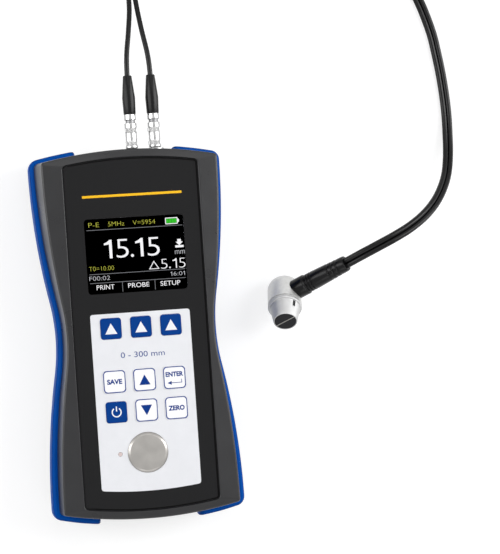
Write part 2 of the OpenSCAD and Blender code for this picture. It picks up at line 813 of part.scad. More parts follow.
// A key is a cap that stands out of the film on a stem that reaches to its snap dome
module key(index) {
    cap_top = film_z + key_proud;
    dome_top = board_z + board_t + dome_h;
    side = key_side(index);
    color(side == blue_key ? bumper_blue : film_white) {
        block(side, side, key_corner, cap_top - key_cap_t, cap_top, key_at(index));
        rod(stem_d, dome_top + key_travel + seat_gap / 2, cap_top - key_cap_t / 2, key_at(index));
    }
}

module key_domes() {
    color(steel)
    for (i = [0 : 8]) {
        translate([key_at(i)[0], key_at(i)[1], board_z + board_t])
            cylinder(d1 = dome_d, d2 = dome_d / 2, h = dome_h);
    }
}

module zero_disc() {
    color(steel)
    translate([disc_x, disc_y, shell_height - disc_t])
        turned([[0, 0], [disc_d / 2, 0], [disc_d / 2, disc_t - disc_chamfer],
            [disc_d / 2 - disc_chamfer, disc_t], [0, disc_t]]);
}

module status_lamp() {
    color([0.8, 0.9, 0.8])
    translate([lamp_x, disc_y, 0])
        turned([[0, board_z + board_t], [lamp_foot_r, board_z + board_t], [lamp_foot_r, roof_z],
            [lamp_d / 2, roof_z], [lamp_d / 2, film_z], [0, film_z]]);
}

module main_board() {
    color(board_green)
    difference() {
        block(2 * board_half, board_top + board_bottom, 2, board_z, board_z + board_t,
            [0, (board_top - board_bottom) / 2]);
        at_board_screws()
            rod(board_screw_d + 4 * slide_fit, board_z - overcut, board_z + board_t + overcut);
    }
}

module pulser_shield() {
    color(steel)
        block(shield_width, shield_length, 0.8, board_z - shield_height, board_z,
            [shield_x, board_top - shield_edge - shield_length / 2]);
}

module radio_module() {
    color([0.3, 0.3, 0.35])
        block(radio_width, radio_length, 0.4, board_z - radio_height, board_z,
            [radio_x, board_top - radio_edge - radio_length / 2]);
}

module case_screws() {
    color([0.3, 0.3, 0.3])
    at_case_screws() {
        rod(head_d, case_screw_depth - head_t, case_screw_depth);
        rod(case_screw_d, case_screw_depth - head_t / 2, case_screw_depth + case_screw_length);
    }
}

module board_screws() {
    color(steel)
    at_board_screws() {
        rod(2 * board_screw_d, board_z - 0.7 * board_screw_d, board_z);
        rod(board_screw_d, board_z - 0.3 * board_screw_d, roof_z);
    }
}

// Cells lie side by side, and every second one is turned round.
// Along a cell's own axis the bay runs from 0 to its far end, where the button meets its plate.
module at_cells() {
    for (i = [0 : 3]) {
        translate([(i - 1.5) * cell_pitch, i % 2 == 0 ? bay_y0 : bay_y1, cell_z])
            rotate([i % 2 == 0 ? -90 : 90, 0, 0])
                children();
    }
}

module battery_cells() {
    r = cell_d / 2;
    rim = 0.6;
    can = cell_length - button_t;
    color([0.75, 0.6, 0.3])
    at_cells()
        translate([0, 0, spring_h])
            turned([[0, 0], [r - rim, 0], [r, rim], [r, can - rim], [r - rim, can], [button_d / 2, can],
                [button_d / 2, cell_length], [0, cell_length]]);
}

// Cone springs at the flat ends of the cells
module battery_springs() {
    turns = 3;
    steps = 12;
    start_r = 0.32 * cell_d;
    end_r = 0.2 * cell_d;
    rise = spring_h - spring_wire;
    points = [for (i = [0 : turns * steps]) let (t = i / (turns * steps), a = 360 * i / steps,
        r = start_r + (end_r - start_r) * t) [r * cos(a), r * sin(a), spring_wire / 2 + rise * t]];
    color(steel)
    at_cells()
        cord(points, spring_wire, spring_wire);
}

module battery_plates() {
    side = cell_d - 3;
    color(steel)
    at_cells()
        block(side, side, 1, spring_h + cell_length, spring_h + cell_length + plate_t);
}

module battery_door() {
    color(shell_grey)
    difference() {
        intersection() {
            union() {
                translate([-bay_half, -half_length, door_sink])
                    cube([2 * bay_half, half_length + door_y, door_t]);
                translate([-bay_half - tongue_w, -half_length, door_top_z - tongue_t])
                    cube([2 * (bay_half + tongue_w), half_length + door_y, tongue_t]);
            }
            translate([0, 0, door_sink])
                loft([at_height(shell_half(back_round, back_round, back_round), -overcut),
                    at_height(shell_half(back_round / 2, back_round / 2, back_round / 2),
                        door_t + overcut)]);
        }
        for (i = [0 : 4]) {
            translate([-grip_width / 2, grip_edge - half_length + grip_pitch * i, door_sink - overcut])
                cube([grip_width, grip_pitch / 2, overcut + grip_depth]);
        }
    }
}

module socket(index) {
    shank_r = socket_shank_d / 2;
    flange_r = socket_flange_d / 2;
    bore_r = socket_bore_d / 2;
    hole_r = contact_r + pilot_gap;
    chamfer = 0.2;
    color(steel)
    on_socket(index)
        turned([[hole_r, -socket_length], [shank_r, -socket_length], [shank_r, 0], [flange_r, 0],
            [flange_r, flange_t - chamfer], [flange_r - chamfer, flange_t], [bore_r, flange_t],
            [bore_r, -socket_depth], [hole_r, -socket_depth]]);
}

module socket_1() {
    socket(0);
}

module socket_2() {
    socket(1);
}

module socket_nuts() {
    color(steel)
    for (i = [0, 1]) {
        on_socket(i)
            translate([0, 0, -socket_wall - socket_nut_t])
                difference() {
                    cylinder(d = 1.5 * socket_shank_d, h = socket_nut_t, $fn = 6);
                    translate([0, 0, -overcut])
                        cylinder(d = socket_shank_d + 2 * pilot_gap, h = socket_nut_t + 2 * overcut);
                }
    }
}

module socket_contacts() {
    tail = -socket_length - contact_reach;
    mouth = contact_reach - socket_depth;
    floor_z = -pin_depth - stop_gap;
    color(brass)
    for (i = [0, 1]) {
        on_socket(i)
            turned([[0, tail], [pin_r, tail], [pin_r, -socket_length], [contact_r, -socket_length],
                [contact_r, mouth], [pin_r + seat_gap, mouth], [pin_r + seat_gap, floor_z], [0, floor_z]]);
    }
}

module plug_body(index) {
    end = boot_start - plug_gap;
    shoulder = flange_t + plug_gap / 2;
    color(steel)
    on_socket(index)
        turned([[plug_bore_r, -plug_depth], [plug_r, -plug_depth], [plug_r, shoulder], [barrel_r, shoulder],
            [barrel_r, end], [wire_r, end], [wire_r, plug_seat], [plug_bore_r, plug_seat]]);
}

module plug_body_1() {
    plug_body(0);
}

module plug_body_2() {
    plug_body(1);
}

// Release sleeve: two grip bands with a waisted middle, between a lip and a collar
module plug_sleeve(index) {
    r = sleeve_d / 2;
    bore = barrel_r + sleeve_fit;
    lip = 1.3;
    band = 2;
    collar = 2.7;
    edge = 0.3;
    waist = r - edge;
    low = r - edge / 3;
    back_band = sleeve_length - collar - band;
    collar_start = sleeve_length - collar;
    color(steel)
    on_socket(index)
        translate([0, 0, sleeve_start])
            turned([[bore, 0], [waist, 0], [low, edge], [low, lip], [r, lip + edge / 3], [r, lip + band],
                [waist, lip + band + edge], [waist, back_band - edge], [r, back_band],
                [r, collar_start], [low, collar_start + edge / 3], [low, sleeve_length - edge],
                [waist, sleeve_length], [bore, sleeve_length]]);
}

module plug_sleeve_1() {
    plug_sleeve(0);
}

module plug_sleeve_2() {
    plug_sleeve(1);
}

module plug_nuts() {
    r = plug_nut_d / 2;
    bore = barrel_r + pilot_gap;
    chamfer = 0.2;
    color(steel)
    for (i = [0, 1]) {
        on_socket(i)
            translate([0, 0, nut_start])
                turned([[bore, 0], [r - chamfer, 0], [r, chamfer], [r, plug_nut_length],
                    [bore, plug_nut_length]]);
    }
}

module plug_pins() {
    holder_r = plug_bore_r - seat_gap;
    holder_depth = 2;
    point = 0.4;
    color(brass)
    for (i = [0, 1]) {
        on_socket(i)
            turned([[0, -pin_depth], [pin_r, point - pin_depth], [pin_r, -holder_depth],
                [holder_r, -holder_depth], [holder_r, plug_seat], [pin_r, plug_seat], [pin_r, pin_depth],
                [0, pin_depth]]);
    }
}

module plug_boot(index) {
    r = boot_d / 2;
    tip_r = boot_tip_d / 2;
    edge = 0.3;
    color(cable_black)
    on_socket(index)
        translate([0, 0, boot_start])
            turned([[cable_bore, 0], [r, 0], [r, 0.45 * boot_length], [tip_r + edge, 0.87 * boot_length],
                [tip_r, boot_length], [cable_bore, boot_length]]);
}

module plug_boot_1() {
    plug_boot(0);
}

module plug_boot_2() {
    plug_boot(1);
}

module lead_tail(index, points) {
    x = socket_x + index * socket_pitch;
    start = [[x, socket_flat + boot_start, socket_z], [x, socket_flat + boot_start + boot_length, socket_z]];
    color(cable_black)
        cord(route(concat(start, points, [tail_ends[index]])), cable_d, cable_d);
}

module lead_tail_1() {
    lead_tail(0, tail_route_1);
}

module lead_tail_2() {
    lead_tail(1, tail_route_2);
}

module lead_splitter() {
    height = 2 * splitter_at[2];
    color(cable_black)
    translate([splitter_at[0], splitter_at[1], splitter_at[2]])
        rotate([-90, 0, 0])
            linear_extrude(splitter_length)
                polygon(rounded(2 * (cable_d + splitter_margin), height, 0.4 * height));
}

module lead_out() {
    start = [splitter_at + [0, splitter_length, 0]];
    color(cable_black)
        cord(route(concat(start, out_route)), 2 * cable_d, cable_d);
}

module lead_coil() {
    color(cable_black)
    translate([coil_centre[0], coil_centre[1], coil_height / 2])
        rotate_extrude($fn = 72)
            translate([(coil_inner + coil_outer) / 2, 0])
                polygon(rounded(coil_outer - coil_inner, coil_height, coil_round));
}

module lead_back() {
    turn = probe_turn;
    along = [cos(turn[2]) * cos(turn[1]), sin(turn[2]) * cos(turn[1]), -sin(turn[1])];
    back = [cos(turn[0]) * sin(turn[1]) * cos(turn[2]) + sin(turn[0]) * sin(turn[2]),
        cos(turn[0]) * sin(turn[1]) * sin(turn[2]) - sin(turn[0]) * cos(turn[2]),
        cos(turn[0]) * cos(turn[1])];
    face = [probe_face_xy[0], probe_face_xy[1], probe_lift];
    start = [face + back * outlet_height + along * (boot_seat + probe_boot_length)];
    color(cable_black)
        cord(route(concat(start, back_route)), 2 * cable_d, cable_d);
}

module probe_body() {
    r = probe_d / 2;
    shoulder = probe_length - probe_round;
    color(steel)
    on_probe() {
        turned(concat([[0, nose_length], [r, nose_length]],
            [for (a = [0 : 15 : 90])
                [r - probe_round + probe_round * cos(a), shoulder + probe_round * sin(a)]],
            [[0, probe_length]]));
        translate([0, 0, outlet_height])
            rotate([0, 90, 0])
                cylinder(d = collar_d + 2 * outlet_land, h = boot_seat);
    }
}

module probe_nose() {
    r = probe_d / 2;
    bore = face_d / 2 + seat_gap / 2;
    edge = 0.3;
    slot_angle = 45;
    slot_width = 1.6;
    slot_length = 3.4;
    slot_depth = 1.1;
    color([0.8, 0.8, 0.8])
    on_probe()
        difference() {
            turned([[bore, 0], [rim_d / 2, 0], [taper_d / 2, taper_length], [r - edge, taper_length],
                [r, taper_length + edge], [r, nose_length], [bore, nose_length]]);
            rotate([0, 0, slot_angle])
                translate([taper_d / 2 - slot_depth, -slot_width / 2, taper_length - slot_length])
                    cube([slot_depth + overcut / 2, slot_width, slot_length]);
        }
}

// The two elements are half rounds behind the face, with a sound barrier between them
module probe_element(side) {
    color([0.1, 0.1, 0.11])
    on_probe()
        intersection() {
            rod(face_d, 0, nose_length);
            translate([-face_d, side > 0 ? barrier_t / 2 : -face_d - barrier_t / 2, 0])
                cube([2 * face_d, face_d, nose_length]);
        }
}

module probe_element_1() {
    probe_element(1);
}

module probe_element_2() {
    probe_element(-1);
}

module probe_barrier() {
    color([0.6, 0.58, 0.5])
    on_probe()
        intersection() {
            rod(face_d, 0, nose_length);
            translate([-face_d, -barrier_t / 2, 0])
                cube([2 * face_d, barrier_t, nose_length]);
        }
}

// Boot: a thick collar, three deep grooves, and a sleeve that tapers to the lead with three shallow ones
module probe_boot() {
    collar = collar_d / 2;
    tip = probe_boot_tip / 2;
    neck = collar - 0.5;
    edge = 0.2;
    first_groove = collar_length + 1;
    groove_width = 0.9;
    sleeve_start_z = first_groove + 2 * groove_pitch + groove_width;
    sleeve_end_z = probe_boot_length - 4 * edge;
    first_tail = probe_boot_length - tail_groove_edge - 2 * tail_groove_pitch - groove_width;
    function sleeve_r(z) =
        neck + (tip + edge - neck) * (z - sleeve_start_z) / (sleeve_end_z - sleeve_start_z);
    grooves = [for (i = [0 : 2]) let (z = first_groove + groove_pitch * i)
        each [[neck, z], [neck - groove_depth, z + edge], [neck - groove_depth, z + groove_width - edge],
            [neck, z + groove_width]]];
    tail_grooves = [for (i = [0 : 2]) let (z = first_tail + tail_groove_pitch * i, r = sleeve_r(z))
        each [[r, z], [r - tail_groove_depth, z + edge], [r - tail_groove_depth, z + groove_width - edge],
            [sleeve_r(z + groove_width), z + groove_width]]];
    color(cable_black)
    on_probe_outlet()
        turned(concat([[0, 0], [collar, 0], [collar, collar_length], [neck, collar_length + edge]], grooves,
            tail_grooves, [[tip + edge, sleeve_end_z], [tip, probe_boot_length], [0, probe_boot_length]]));
}

front_shell();
rear_shell();
bumper_left();
bumper_right();
front_label();
display_window();
display_module();
display_gasket();
keypad_film();
zero_disc();
status_lamp();
main_board();
key_domes();
radio_module();
pulser_shield();
case_screws();
board_screws();
battery_cells();
battery_springs();
battery_plates();
battery_door();
socket_1();
socket_2();
socket_nuts();
socket_contacts();
plug_body_1();
plug_body_2();
plug_sleeve_1();
plug_sleeve_2();
plug_nuts();
plug_boot_1();
plug_boot_2();
plug_pins();
lead_tail_1();
lead_tail_2();
lead_splitter();
lead_out();
lead_coil();
lead_back();
probe_body();
probe_nose();
probe_element_1();
probe_element_2();
probe_barrier();
probe_boot();
for (i = [0 : len(KEYS) - 1]) {
    key(i);
}
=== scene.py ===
"""Handheld ultrasonic thickness gauge with its twin lead and probe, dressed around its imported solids."""
import json
import math

import bmesh
import bpy
import numpy as np
from mathutils import Matrix, Vector


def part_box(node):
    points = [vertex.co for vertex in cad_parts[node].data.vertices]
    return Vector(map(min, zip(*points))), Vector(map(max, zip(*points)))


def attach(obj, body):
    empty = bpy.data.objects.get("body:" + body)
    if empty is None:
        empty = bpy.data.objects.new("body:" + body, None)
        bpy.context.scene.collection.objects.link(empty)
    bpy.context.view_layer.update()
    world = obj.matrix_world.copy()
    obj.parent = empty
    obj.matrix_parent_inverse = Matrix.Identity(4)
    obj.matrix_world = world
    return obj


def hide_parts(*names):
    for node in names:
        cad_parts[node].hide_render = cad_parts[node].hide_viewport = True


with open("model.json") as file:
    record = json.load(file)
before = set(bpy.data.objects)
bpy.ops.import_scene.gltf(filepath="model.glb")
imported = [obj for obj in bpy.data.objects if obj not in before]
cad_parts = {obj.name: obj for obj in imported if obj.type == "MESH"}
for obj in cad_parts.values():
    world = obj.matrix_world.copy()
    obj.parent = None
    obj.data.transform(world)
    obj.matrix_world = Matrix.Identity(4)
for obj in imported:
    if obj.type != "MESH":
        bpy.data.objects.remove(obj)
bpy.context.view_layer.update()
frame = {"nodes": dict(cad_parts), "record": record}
nodes = frame["nodes"]
MM = 0.001
TINY = 1e-6


def corners(node):
    """Lower and upper corner of a node's box, in millimetres."""
    low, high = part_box(node)
    return Vector(low) / MM, Vector(high) / MM


def middle(node):
    """Middle of a node's box seen from the front, in millimetres."""
    low, high = corners(node)
    return ((low.x + high.x) / 2, (low.y + high.y) / 2)


# Sizes of the gauge in millimetres, from the frame where a node's box gives them
shell_low, shell_high = corners("front_shell")
HALF_END = corners("rear_shell")[1].x
HALF_LENGTH = shell_high.y
HEIGHT = shell_high.z
PARTING = shell_low.z
HALF_WAIST = 38.3
WAIST_RADIUS = 100.0
END_RADIUS = 210.0
CORNER_RADIUS = 2.7
WALL = 2.4
BACK_T = 3.4
BACK_ROUND = 4.0
BACK_ROUND_H = 6.0
SIDE_DRAFT = 2.3
WAIST_DRAFT = 1.2
END_DRAFT = 1.0
EDGE_RADIUS = 1.2
WING_SLOPE = math.radians(5)
PANEL_HALF_WIDTH = 34.0
PANEL_HALF_LENGTH = 87.9
PANEL_END_RADIUS = 195.0
PANEL_CORNER = 2.4
RECESS_SLOPE = 0.45
LABEL_GAP = 0.1
PANEL_Z = corners("front_label")[0].z
ROOF_Z = PANEL_Z - 2.5
FILM_Z = corners("keypad_film")[1].z
LABEL_Z = corners("front_label")[1].z
BUMPER_PROUD = 2.15
BUMPER_SEAT = 1.0
BUMPER_LOW = 10.0
BUMPER_HIGH = 24.5
BUMPER_SLOPE = 2.3
BUMPER_END_X = 25.0
WINDOW = (49.8, 37.3)
WINDOW_Y = middle("display_window")[1]
WINDOW_CORNER = 1.7
DISC_AT = middle("zero_disc")
LAMP_AT = middle("status_lamp")
SOCKET_X = (middle("socket_1")[0], middle("socket_2")[0])
SOCKET_Z = 27.0
SOCKET_FLAT = HALF_LENGTH - 1.4
PROBE_TURN = (-145.0, -34.5, 26.5)
PROBE_FACE = (76.3, 0.6)
PROBE_RADIUS = 8.7
PROBE_LENGTH = 28.0
PROBE_ROUND = 6.5
PROBE_OUTLET = 18.3
PROBE_BOOT_SEAT = PROBE_RADIUS + 0.2
PROBE_BOOT_LENGTH = 30.0
CABLE_D = 2.6
LEAD_D = 2.8


# Placing and joining
def turned(axis, degrees):
    return Matrix.Rotation(math.radians(degrees), 4, axis)


def in_metres(matrix):
    scaled = matrix.copy()
    scaled.translation = matrix.translation * MM
    return scaled


def add_object(name, data):
    thing = bpy.data.objects.new(name, data)
    bpy.context.scene.collection.objects.link(thing)
    return thing


def shade(mesh, angle=32):
    mesh.shade_smooth()
    mesh.set_sharp_from_angle(angle=math.radians(angle))


def merge_mesh(mesh, distance=1e-7):
    bm = bmesh.new()
    bm.from_mesh(mesh)
    bmesh.ops.remove_doubles(bm, verts=bm.verts, dist=distance)
    bmesh.ops.recalc_face_normals(bm, faces=bm.faces)
    bm.to_mesh(mesh)
    bm.free()


def build(name, points, faces, angle=32, merge=False):
    """A piece from points in millimetres and faces that look outwards."""
    mesh = bpy.data.meshes.new(name)
    mesh.from_pydata((np.asarray(points, float) * MM).tolist(), [], faces)
    if merge:
        merge_mesh(mesh)
    shade(mesh, angle)
    return add_object(name, mesh)


def made_mesh(thing):
    """The mesh that an object's modifiers or letters make."""
    bpy.context.view_layer.update()
    graph = bpy.context.evaluated_depsgraph_get()
    return bpy.data.meshes.new_from_object(thing.evaluated_get(graph))


def plain(piece):
    """Turns what a piece's modifiers make into its own plain mesh."""
    mesh = made_mesh(piece)
    piece.modifiers.clear()
    piece.data = mesh
    return piece


def carve(piece, tools, operation="DIFFERENCE"):
    """Cuts tools out of a piece, or joins them to it, and removes them."""
    for tool in tools:
        step = piece.modifiers.new("carve", "BOOLEAN")
        step.operation = operation
        step.solver = "EXACT"
        step.object = tool
    plain(piece)
    for tool in tools:
        bpy.data.objects.remove(tool)
    shade(piece.data)


def join(name, pieces):
    """One piece from several that belong to the same body."""
    bm = bmesh.new()
    for piece in pieces:
        bm.from_mesh(piece.data)
        bpy.data.objects.remove(piece)
    mesh = bpy.data.meshes.new(name)
    bm.to_mesh(mesh)
    bm.free()
    return add_object(name, mesh)


def dress(piece, slot, *replaced, body="housing", finish=None):
    """Gives a piece its finish and the body it moves with, and hides the solids it stands for."""
    piece.data.materials.clear()
    piece.data.materials.append(FINISHES[finish or slot])
    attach(piece, body)
    if replaced:
        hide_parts(*replaced)
    return piece


# Camera
VIEW_TARGET = Vector((60.06, 24.42, 20.0)) * MM
VIEW_DISTANCE = 1.1
VIEW_TILT = -10.35
VIEW_PITCH = 0.49
VIEW_ROLL = -3.92
FOCAL_PX = 2158.1
IMAGE_HEIGHT_PX = 554
SENSOR_HEIGHT = 24.0
CLIP_END = 20


def add_camera():
    """A long lens straight over the gauge, a little to its left."""
    data = bpy.data.cameras.new("camera")
    data.sensor_fit = "VERTICAL"
    data.sensor_height = SENSOR_HEIGHT
    data.lens = FOCAL_PX / IMAGE_HEIGHT_PX * SENSOR_HEIGHT
    data.clip_end = CLIP_END
    camera = add_object("camera", data)
    turn = turned("Y", VIEW_TILT) @ turned("X", VIEW_PITCH) @ turned("Z", VIEW_ROLL)
    away = turn.col[2].to_3d() * VIEW_DISTANCE
    camera.matrix_world = Matrix.Translation(VIEW_TARGET + away) @ turn
    bpy.context.scene.camera = camera


# Node trees for what repeats or follows a path
RIDGE_SIDES = 4


def feed(socket, value):
    """Links an input to another node's socket, or sets it to a value."""
    if isinstance(value, bpy.types.NodeSocket):
        socket.id_data.links.new(value, socket)
    else:
        socket.default_value = value


def wire(tree, kind, inputs=None, out=0, **settings):
    """Adds a node, sets it up, feeds its inputs and returns one of its outputs."""
    node = tree.nodes.new(kind)
    for name, value in settings.items():
        setattr(node, name, value)
    for key, value in (inputs or {}).items():
        feed(node.inputs[key], value)
    return node.outputs[out]


def maths(tree, operation, a, b):
    return wire(tree, "ShaderNodeMath", {0: a, 1: b}, operation=operation)


def new_tree(name, inputs):
    """An empty tree with named inputs. Returns it, its inputs' sockets and their identifiers."""
    tree = bpy.data.node_groups.new(name, "GeometryNodeTree")
    keys = {}
    for label, kind in {"Geometry": "Geometry", **inputs, "Material": "Material"}.items():
        socket = tree.interface.new_socket(name=label, in_out="INPUT", socket_type="NodeSocket" + kind)
        keys[label] = socket.identifier
    tree.interface.new_socket(name="Geometry", in_out="OUTPUT", socket_type="NodeSocketGeometry")
    return tree, tree.nodes.new("NodeGroupInput").outputs, keys


def close_tree(tree, source, geometry):
    """Ends a tree in Realize Instances and Set Material."""
    real = wire(tree, "GeometryNodeRealizeInstances", {"Geometry": geometry})
    painted = wire(tree, "GeometryNodeSetMaterial", {"Geometry": real, "Material": source["Material"]})
    feed(tree.nodes.new("NodeGroupOutput").inputs["Geometry"], painted)


def run_tree(piece, made, **values):
    """Runs a tree on a piece, with values for the tree's inputs."""
    tree, keys = made
    step = piece.modifiers.new("nodes", "NODES")
    step.node_group = tree
    for label, value in values.items():
        step[keys[label]] = value
    plain(piece)


def cable_tree():
    """Sweeps one or two round jackets along a path, side by side."""
    tree, source, keys = new_tree("cable", {"Radius": "Float", "Spread": "Float", "Sides": "Int"})
    path = wire(tree, "GeometryNodeMeshToCurve", {"Mesh": source["Geometry"]})
    level = wire(tree, "GeometryNodeSetCurveNormal", {"Curve": path}, mode="Z_UP")
    size = {"Radius": source["Radius"], "Resolution": source["Sides"]}
    ring = wire(tree, "GeometryNodeCurvePrimitiveCircle", size)
    both = tree.nodes.new("GeometryNodeJoinGeometry")
    for side in (-1, 1):
        where = wire(tree, "ShaderNodeCombineXYZ", {"X": maths(tree, "MULTIPLY", source["Spread"], side)})
        half = wire(tree, "GeometryNodeTransform", {"Geometry": ring, "Translation": where})
        feed(both.inputs["Geometry"], half)
    swept = {"Curve": level, "Profile Curve": both.outputs["Geometry"], "Fill Caps": True}
    close_tree(tree, source, wire(tree, "GeometryNodeCurveToMesh", swept))
    return tree, keys


def knurl_tree():
    """A ring of straight ridges about Z."""
    sizes = {"Count": "Int", "Radius": "Float", "Ridge": "Float", "Length": "Float"}
    tree, source, keys = new_tree("knurl", sizes)
    ring = wire(tree, "GeometryNodeMeshCircle", {"Vertices": source["Count"], "Radius": source["Radius"]})
    rod_sizes = {"Vertices": RIDGE_SIDES, "Radius": source["Ridge"], "Depth": source["Length"]}
    ridge = wire(tree, "GeometryNodeMeshCylinder", rod_sizes)
    share = maths(tree, "DIVIDE", wire(tree, "GeometryNodeInputIndex"), source["Count"])
    turn = wire(tree, "ShaderNodeCombineXYZ", {"Z": maths(tree, "MULTIPLY", share, 2 * math.pi)})
    placed = {"Points": ring, "Instance": ridge, "Rotation": turn}
    close_tree(tree, source, wire(tree, "GeometryNodeInstanceOnPoints", placed))
    return tree, keys


def spread_tree():
    """Copies one piece to every point."""
    tree, source, keys = new_tree("spread", {"Piece": "Object"})
    piece = wire(tree, "GeometryNodeObjectInfo", {"Object": source["Piece"]}, "Geometry")
    copies = {"Points": source["Geometry"], "Instance": piece}
    close_tree(tree, source, wire(tree, "GeometryNodeInstanceOnPoints", copies))
    return tree, keys


# Finishes: sizes of patterns and depths of relief are in millimetres
NOISE_REACH = (0.3, 0.7)
BLACK = (0.0, 0.0, 0.0)
CELL = 0.153
CELL_LINE = CELL / 12
CELL_GAP = 0.7
PANE_IOR = 1.001


def colour_of(*levels):
    """Linear colour from the usual 0 to 255 numbers."""
    shares = [level / 255 for level in levels]
    return tuple(v / 12.92 if v <= 0.04045 else ((v + 0.055) / 1.055) ** 2.4 for v in shares)


class Finish:
    """One material: a base colour and gloss, with grain and drift added from the object's own coordinates."""

    def __init__(self, name, colour, rough, metal=0.0, level=0.5):
        self.material = bpy.data.materials.new(name)
        self.material.use_nodes = True
        self.tree = self.material.node_tree
        self.shader = self.tree.nodes["Principled BSDF"]
        self.colour, self.rough = colour, rough
        self.set("Base Color", (*colour, 1))
        self.set("Roughness", rough)
        self.set("Metallic", metal)
        self.set("Specular IOR Level", level)
        self.place = self.wire("ShaderNodeTexCoord", out="Object")

    def set(self, name, value):
        feed(self.shader.inputs[name], value)

    def wire(self, kind, inputs=None, out=0, **settings):
        return wire(self.tree, kind, inputs, out, **settings)

    def turned_to(self, matrix):
        """Later patterns follow a turned or moved frame."""
        back = matrix.inverted()
        moved = {"Vector": self.place, "Location": back.translation, "Rotation": back.to_euler()}
        self.place = self.wire("ShaderNodeMapping", moved)
        return self

    def noise(self, size, detail=2.0, stretch=None):
        """Noise with features of a size, drawn out along some axes."""
        place = self.place
        if stretch:
            place = self.wire("ShaderNodeMapping", {"Vector": place, "Scale": stretch})
        pattern = {"Vector": place, "Scale": 1 / (size * MM), "Detail": detail}
        return self.wire("ShaderNodeTexNoise", pattern, "Fac")

    def rings(self, size):
        """Noise that only changes with the distance from Z: the marks of a lathe's face cut."""
        flat = self.wire("ShaderNodeVectorMath", {0: self.place, 1: (1, 1, 0)}, operation="MULTIPLY")
        away = self.wire("ShaderNodeVectorMath", {0: flat}, "Value", operation="LENGTH")
        pattern = {"W": away, "Scale": 1 / (size * MM)}
        return self.wire("ShaderNodeTexNoise", pattern, "Fac", noise_dimensions="1D")

    def bump(self, height, depth):
        relief = {"Height": height, "Distance": depth * MM}
        before = self.shader.inputs["Normal"]
        if before.is_linked:
            relief["Normal"] = before.links[0].from_socket
        self.set("Normal", self.wire("ShaderNodeBump", relief))

    def span(self, fac, low, high):
        """The usual reach of noise, stretched between two values."""
        start, stop = NOISE_REACH
        reach = {"Value": fac, "From Min": start, "From Max": stop, "To Min": low, "To Max": high}
        return self.wire("ShaderNodeMapRange", reach)

    def drift(self, size, detail, shades, gloss):
        """Lets the colour wander between two shares of itself and the gloss between two steps from itself."""
        fac = self.noise(size, detail)
        ends = {key: (*(c * shade for c in self.colour), 1) for key, shade in zip("AB", shades)}
        mixed = {"Factor": self.span(fac, 0.0, 1.0), **ends}
        self.set("Base Color", self.wire("ShaderNodeMix", mixed, "Result", data_type="RGBA"))
        self.set("Roughness", self.span(fac, self.rough + gloss[0], self.rough + gloss[1]))
        return self.material


def moulded(name, colour, rough, level):
    """Spark-textured moulding: a fine even grain and a slow drift in colour and gloss."""
    finish = Finish(name, colour, rough, level=level)
    finish.bump(finish.noise(0.45, 3.0), 0.012)
    return finish.drift(14, 4.0, (0.94, 1.06), (-0.05, 0.05))


def rubber(name, colour, rough, level=0.4):
    finish = Finish(name, colour, rough, level=level)
    finish.bump(finish.noise(0.3), 0.006)
    return finish.drift(9, 3.0, (0.93, 1.07), (-0.06, 0.06))


def printed(name, colour, rough, level=0.3):
    """Screen-printed ink or film: almost flat, with a faint unevenness."""
    finish = Finish(name, colour, rough, level=level)
    finish.bump(finish.noise(0.25), 0.0025)
    return finish.drift(6, 3.0, (0.985, 1.015), (-0.04, 0.04))


def turned_metal(name, colour, rough, matrix):
    """Lathe-turned metal: fine rings about the part's own axis."""
    finish = Finish(name, colour, rough, metal=1.0).turned_to(matrix)
    finish.bump(finish.noise(0.09, stretch=(0.02, 0.02, 1)), 0.003)
    return finish.drift(2.2, 3.0, (0.92, 1.06), (-0.05, 0.08))


def blasted_metal(name, colour, rough, grain=0.12, depth=0.008):
    """Bead-blasted alloy: a dull, even sparkle."""
    finish = Finish(name, colour, rough, metal=1.0)
    finish.bump(finish.noise(grain), depth)
    return finish.drift(3 * grain, 4.0, (0.93, 1.06), (-0.05, 0.05))


def faced_steel(name, colour, rough, centre):
    """Ground disc: faint rings about its centre under a fine random grain."""
    finish = Finish(name, colour, rough, metal=1.0).turned_to(Matrix.Translation(centre))
    finish.bump(finish.rings(0.12), 0.0015)
    finish.bump(finish.noise(0.08), 0.0015)
    return finish.drift(7, 4.0, (0.94, 1.05), (-0.04, 0.06))


def glowing(name, colour, strength=1.0):
    """A lit part of the display, with the fine grid of its cells."""
    finish = Finish(name, BLACK, 0.4, level=0.0)
    finish.set("Emission Color", (*colour, 1))
    grid = {"Scale": 1 / MM, "Brick Width": CELL, "Row Height": CELL, "Mortar Size": CELL_LINE}
    gaps = finish.wire("ShaderNodeTexBrick", {"Vector": finish.place, **grid}, "Fac", offset=0.0)
    light = {"Value": gaps, "To Min": strength, "To Max": strength * CELL_GAP}
    finish.set("Emission Strength", finish.wire("ShaderNodeMapRange", light))
    return finish.material


def unlit(name):
    """The dark part of the display, which gives back no light."""
    finish = Finish(name, BLACK, 0.4, level=0.0)
    finish.bump(finish.noise(0.25), 0.0025)
    finish.set("Roughness", finish.span(finish.noise(6, 3.0), 0.36, 0.44))
    return finish.material


def clear_pane(name):
    finish = Finish(name, (0.98, 0.98, 1.0), 0.02)
    finish.set("Transmission Weight", 1.0)
    finish.set("IOR", PANE_IOR)
    finish.bump(finish.noise(11, 1.0), 0.0008)
    return finish.material


# Outlines, in millimetres
def side_x(y, waist, end, y1, hollow):
    """Half width at y: a hollow waist arc between two full arcs."""
    drop = end - waist
    if drop < 0.05:
        return end
    span = (drop * drop + y1 * y1) / (2 * drop)
    full = span - hollow
    if abs(y) < hollow * y1 / span:
        return waist + hollow - math.sqrt(hollow * hollow - y * y)
    return end - full + math.sqrt(full * full - (y1 - abs(y)) ** 2)


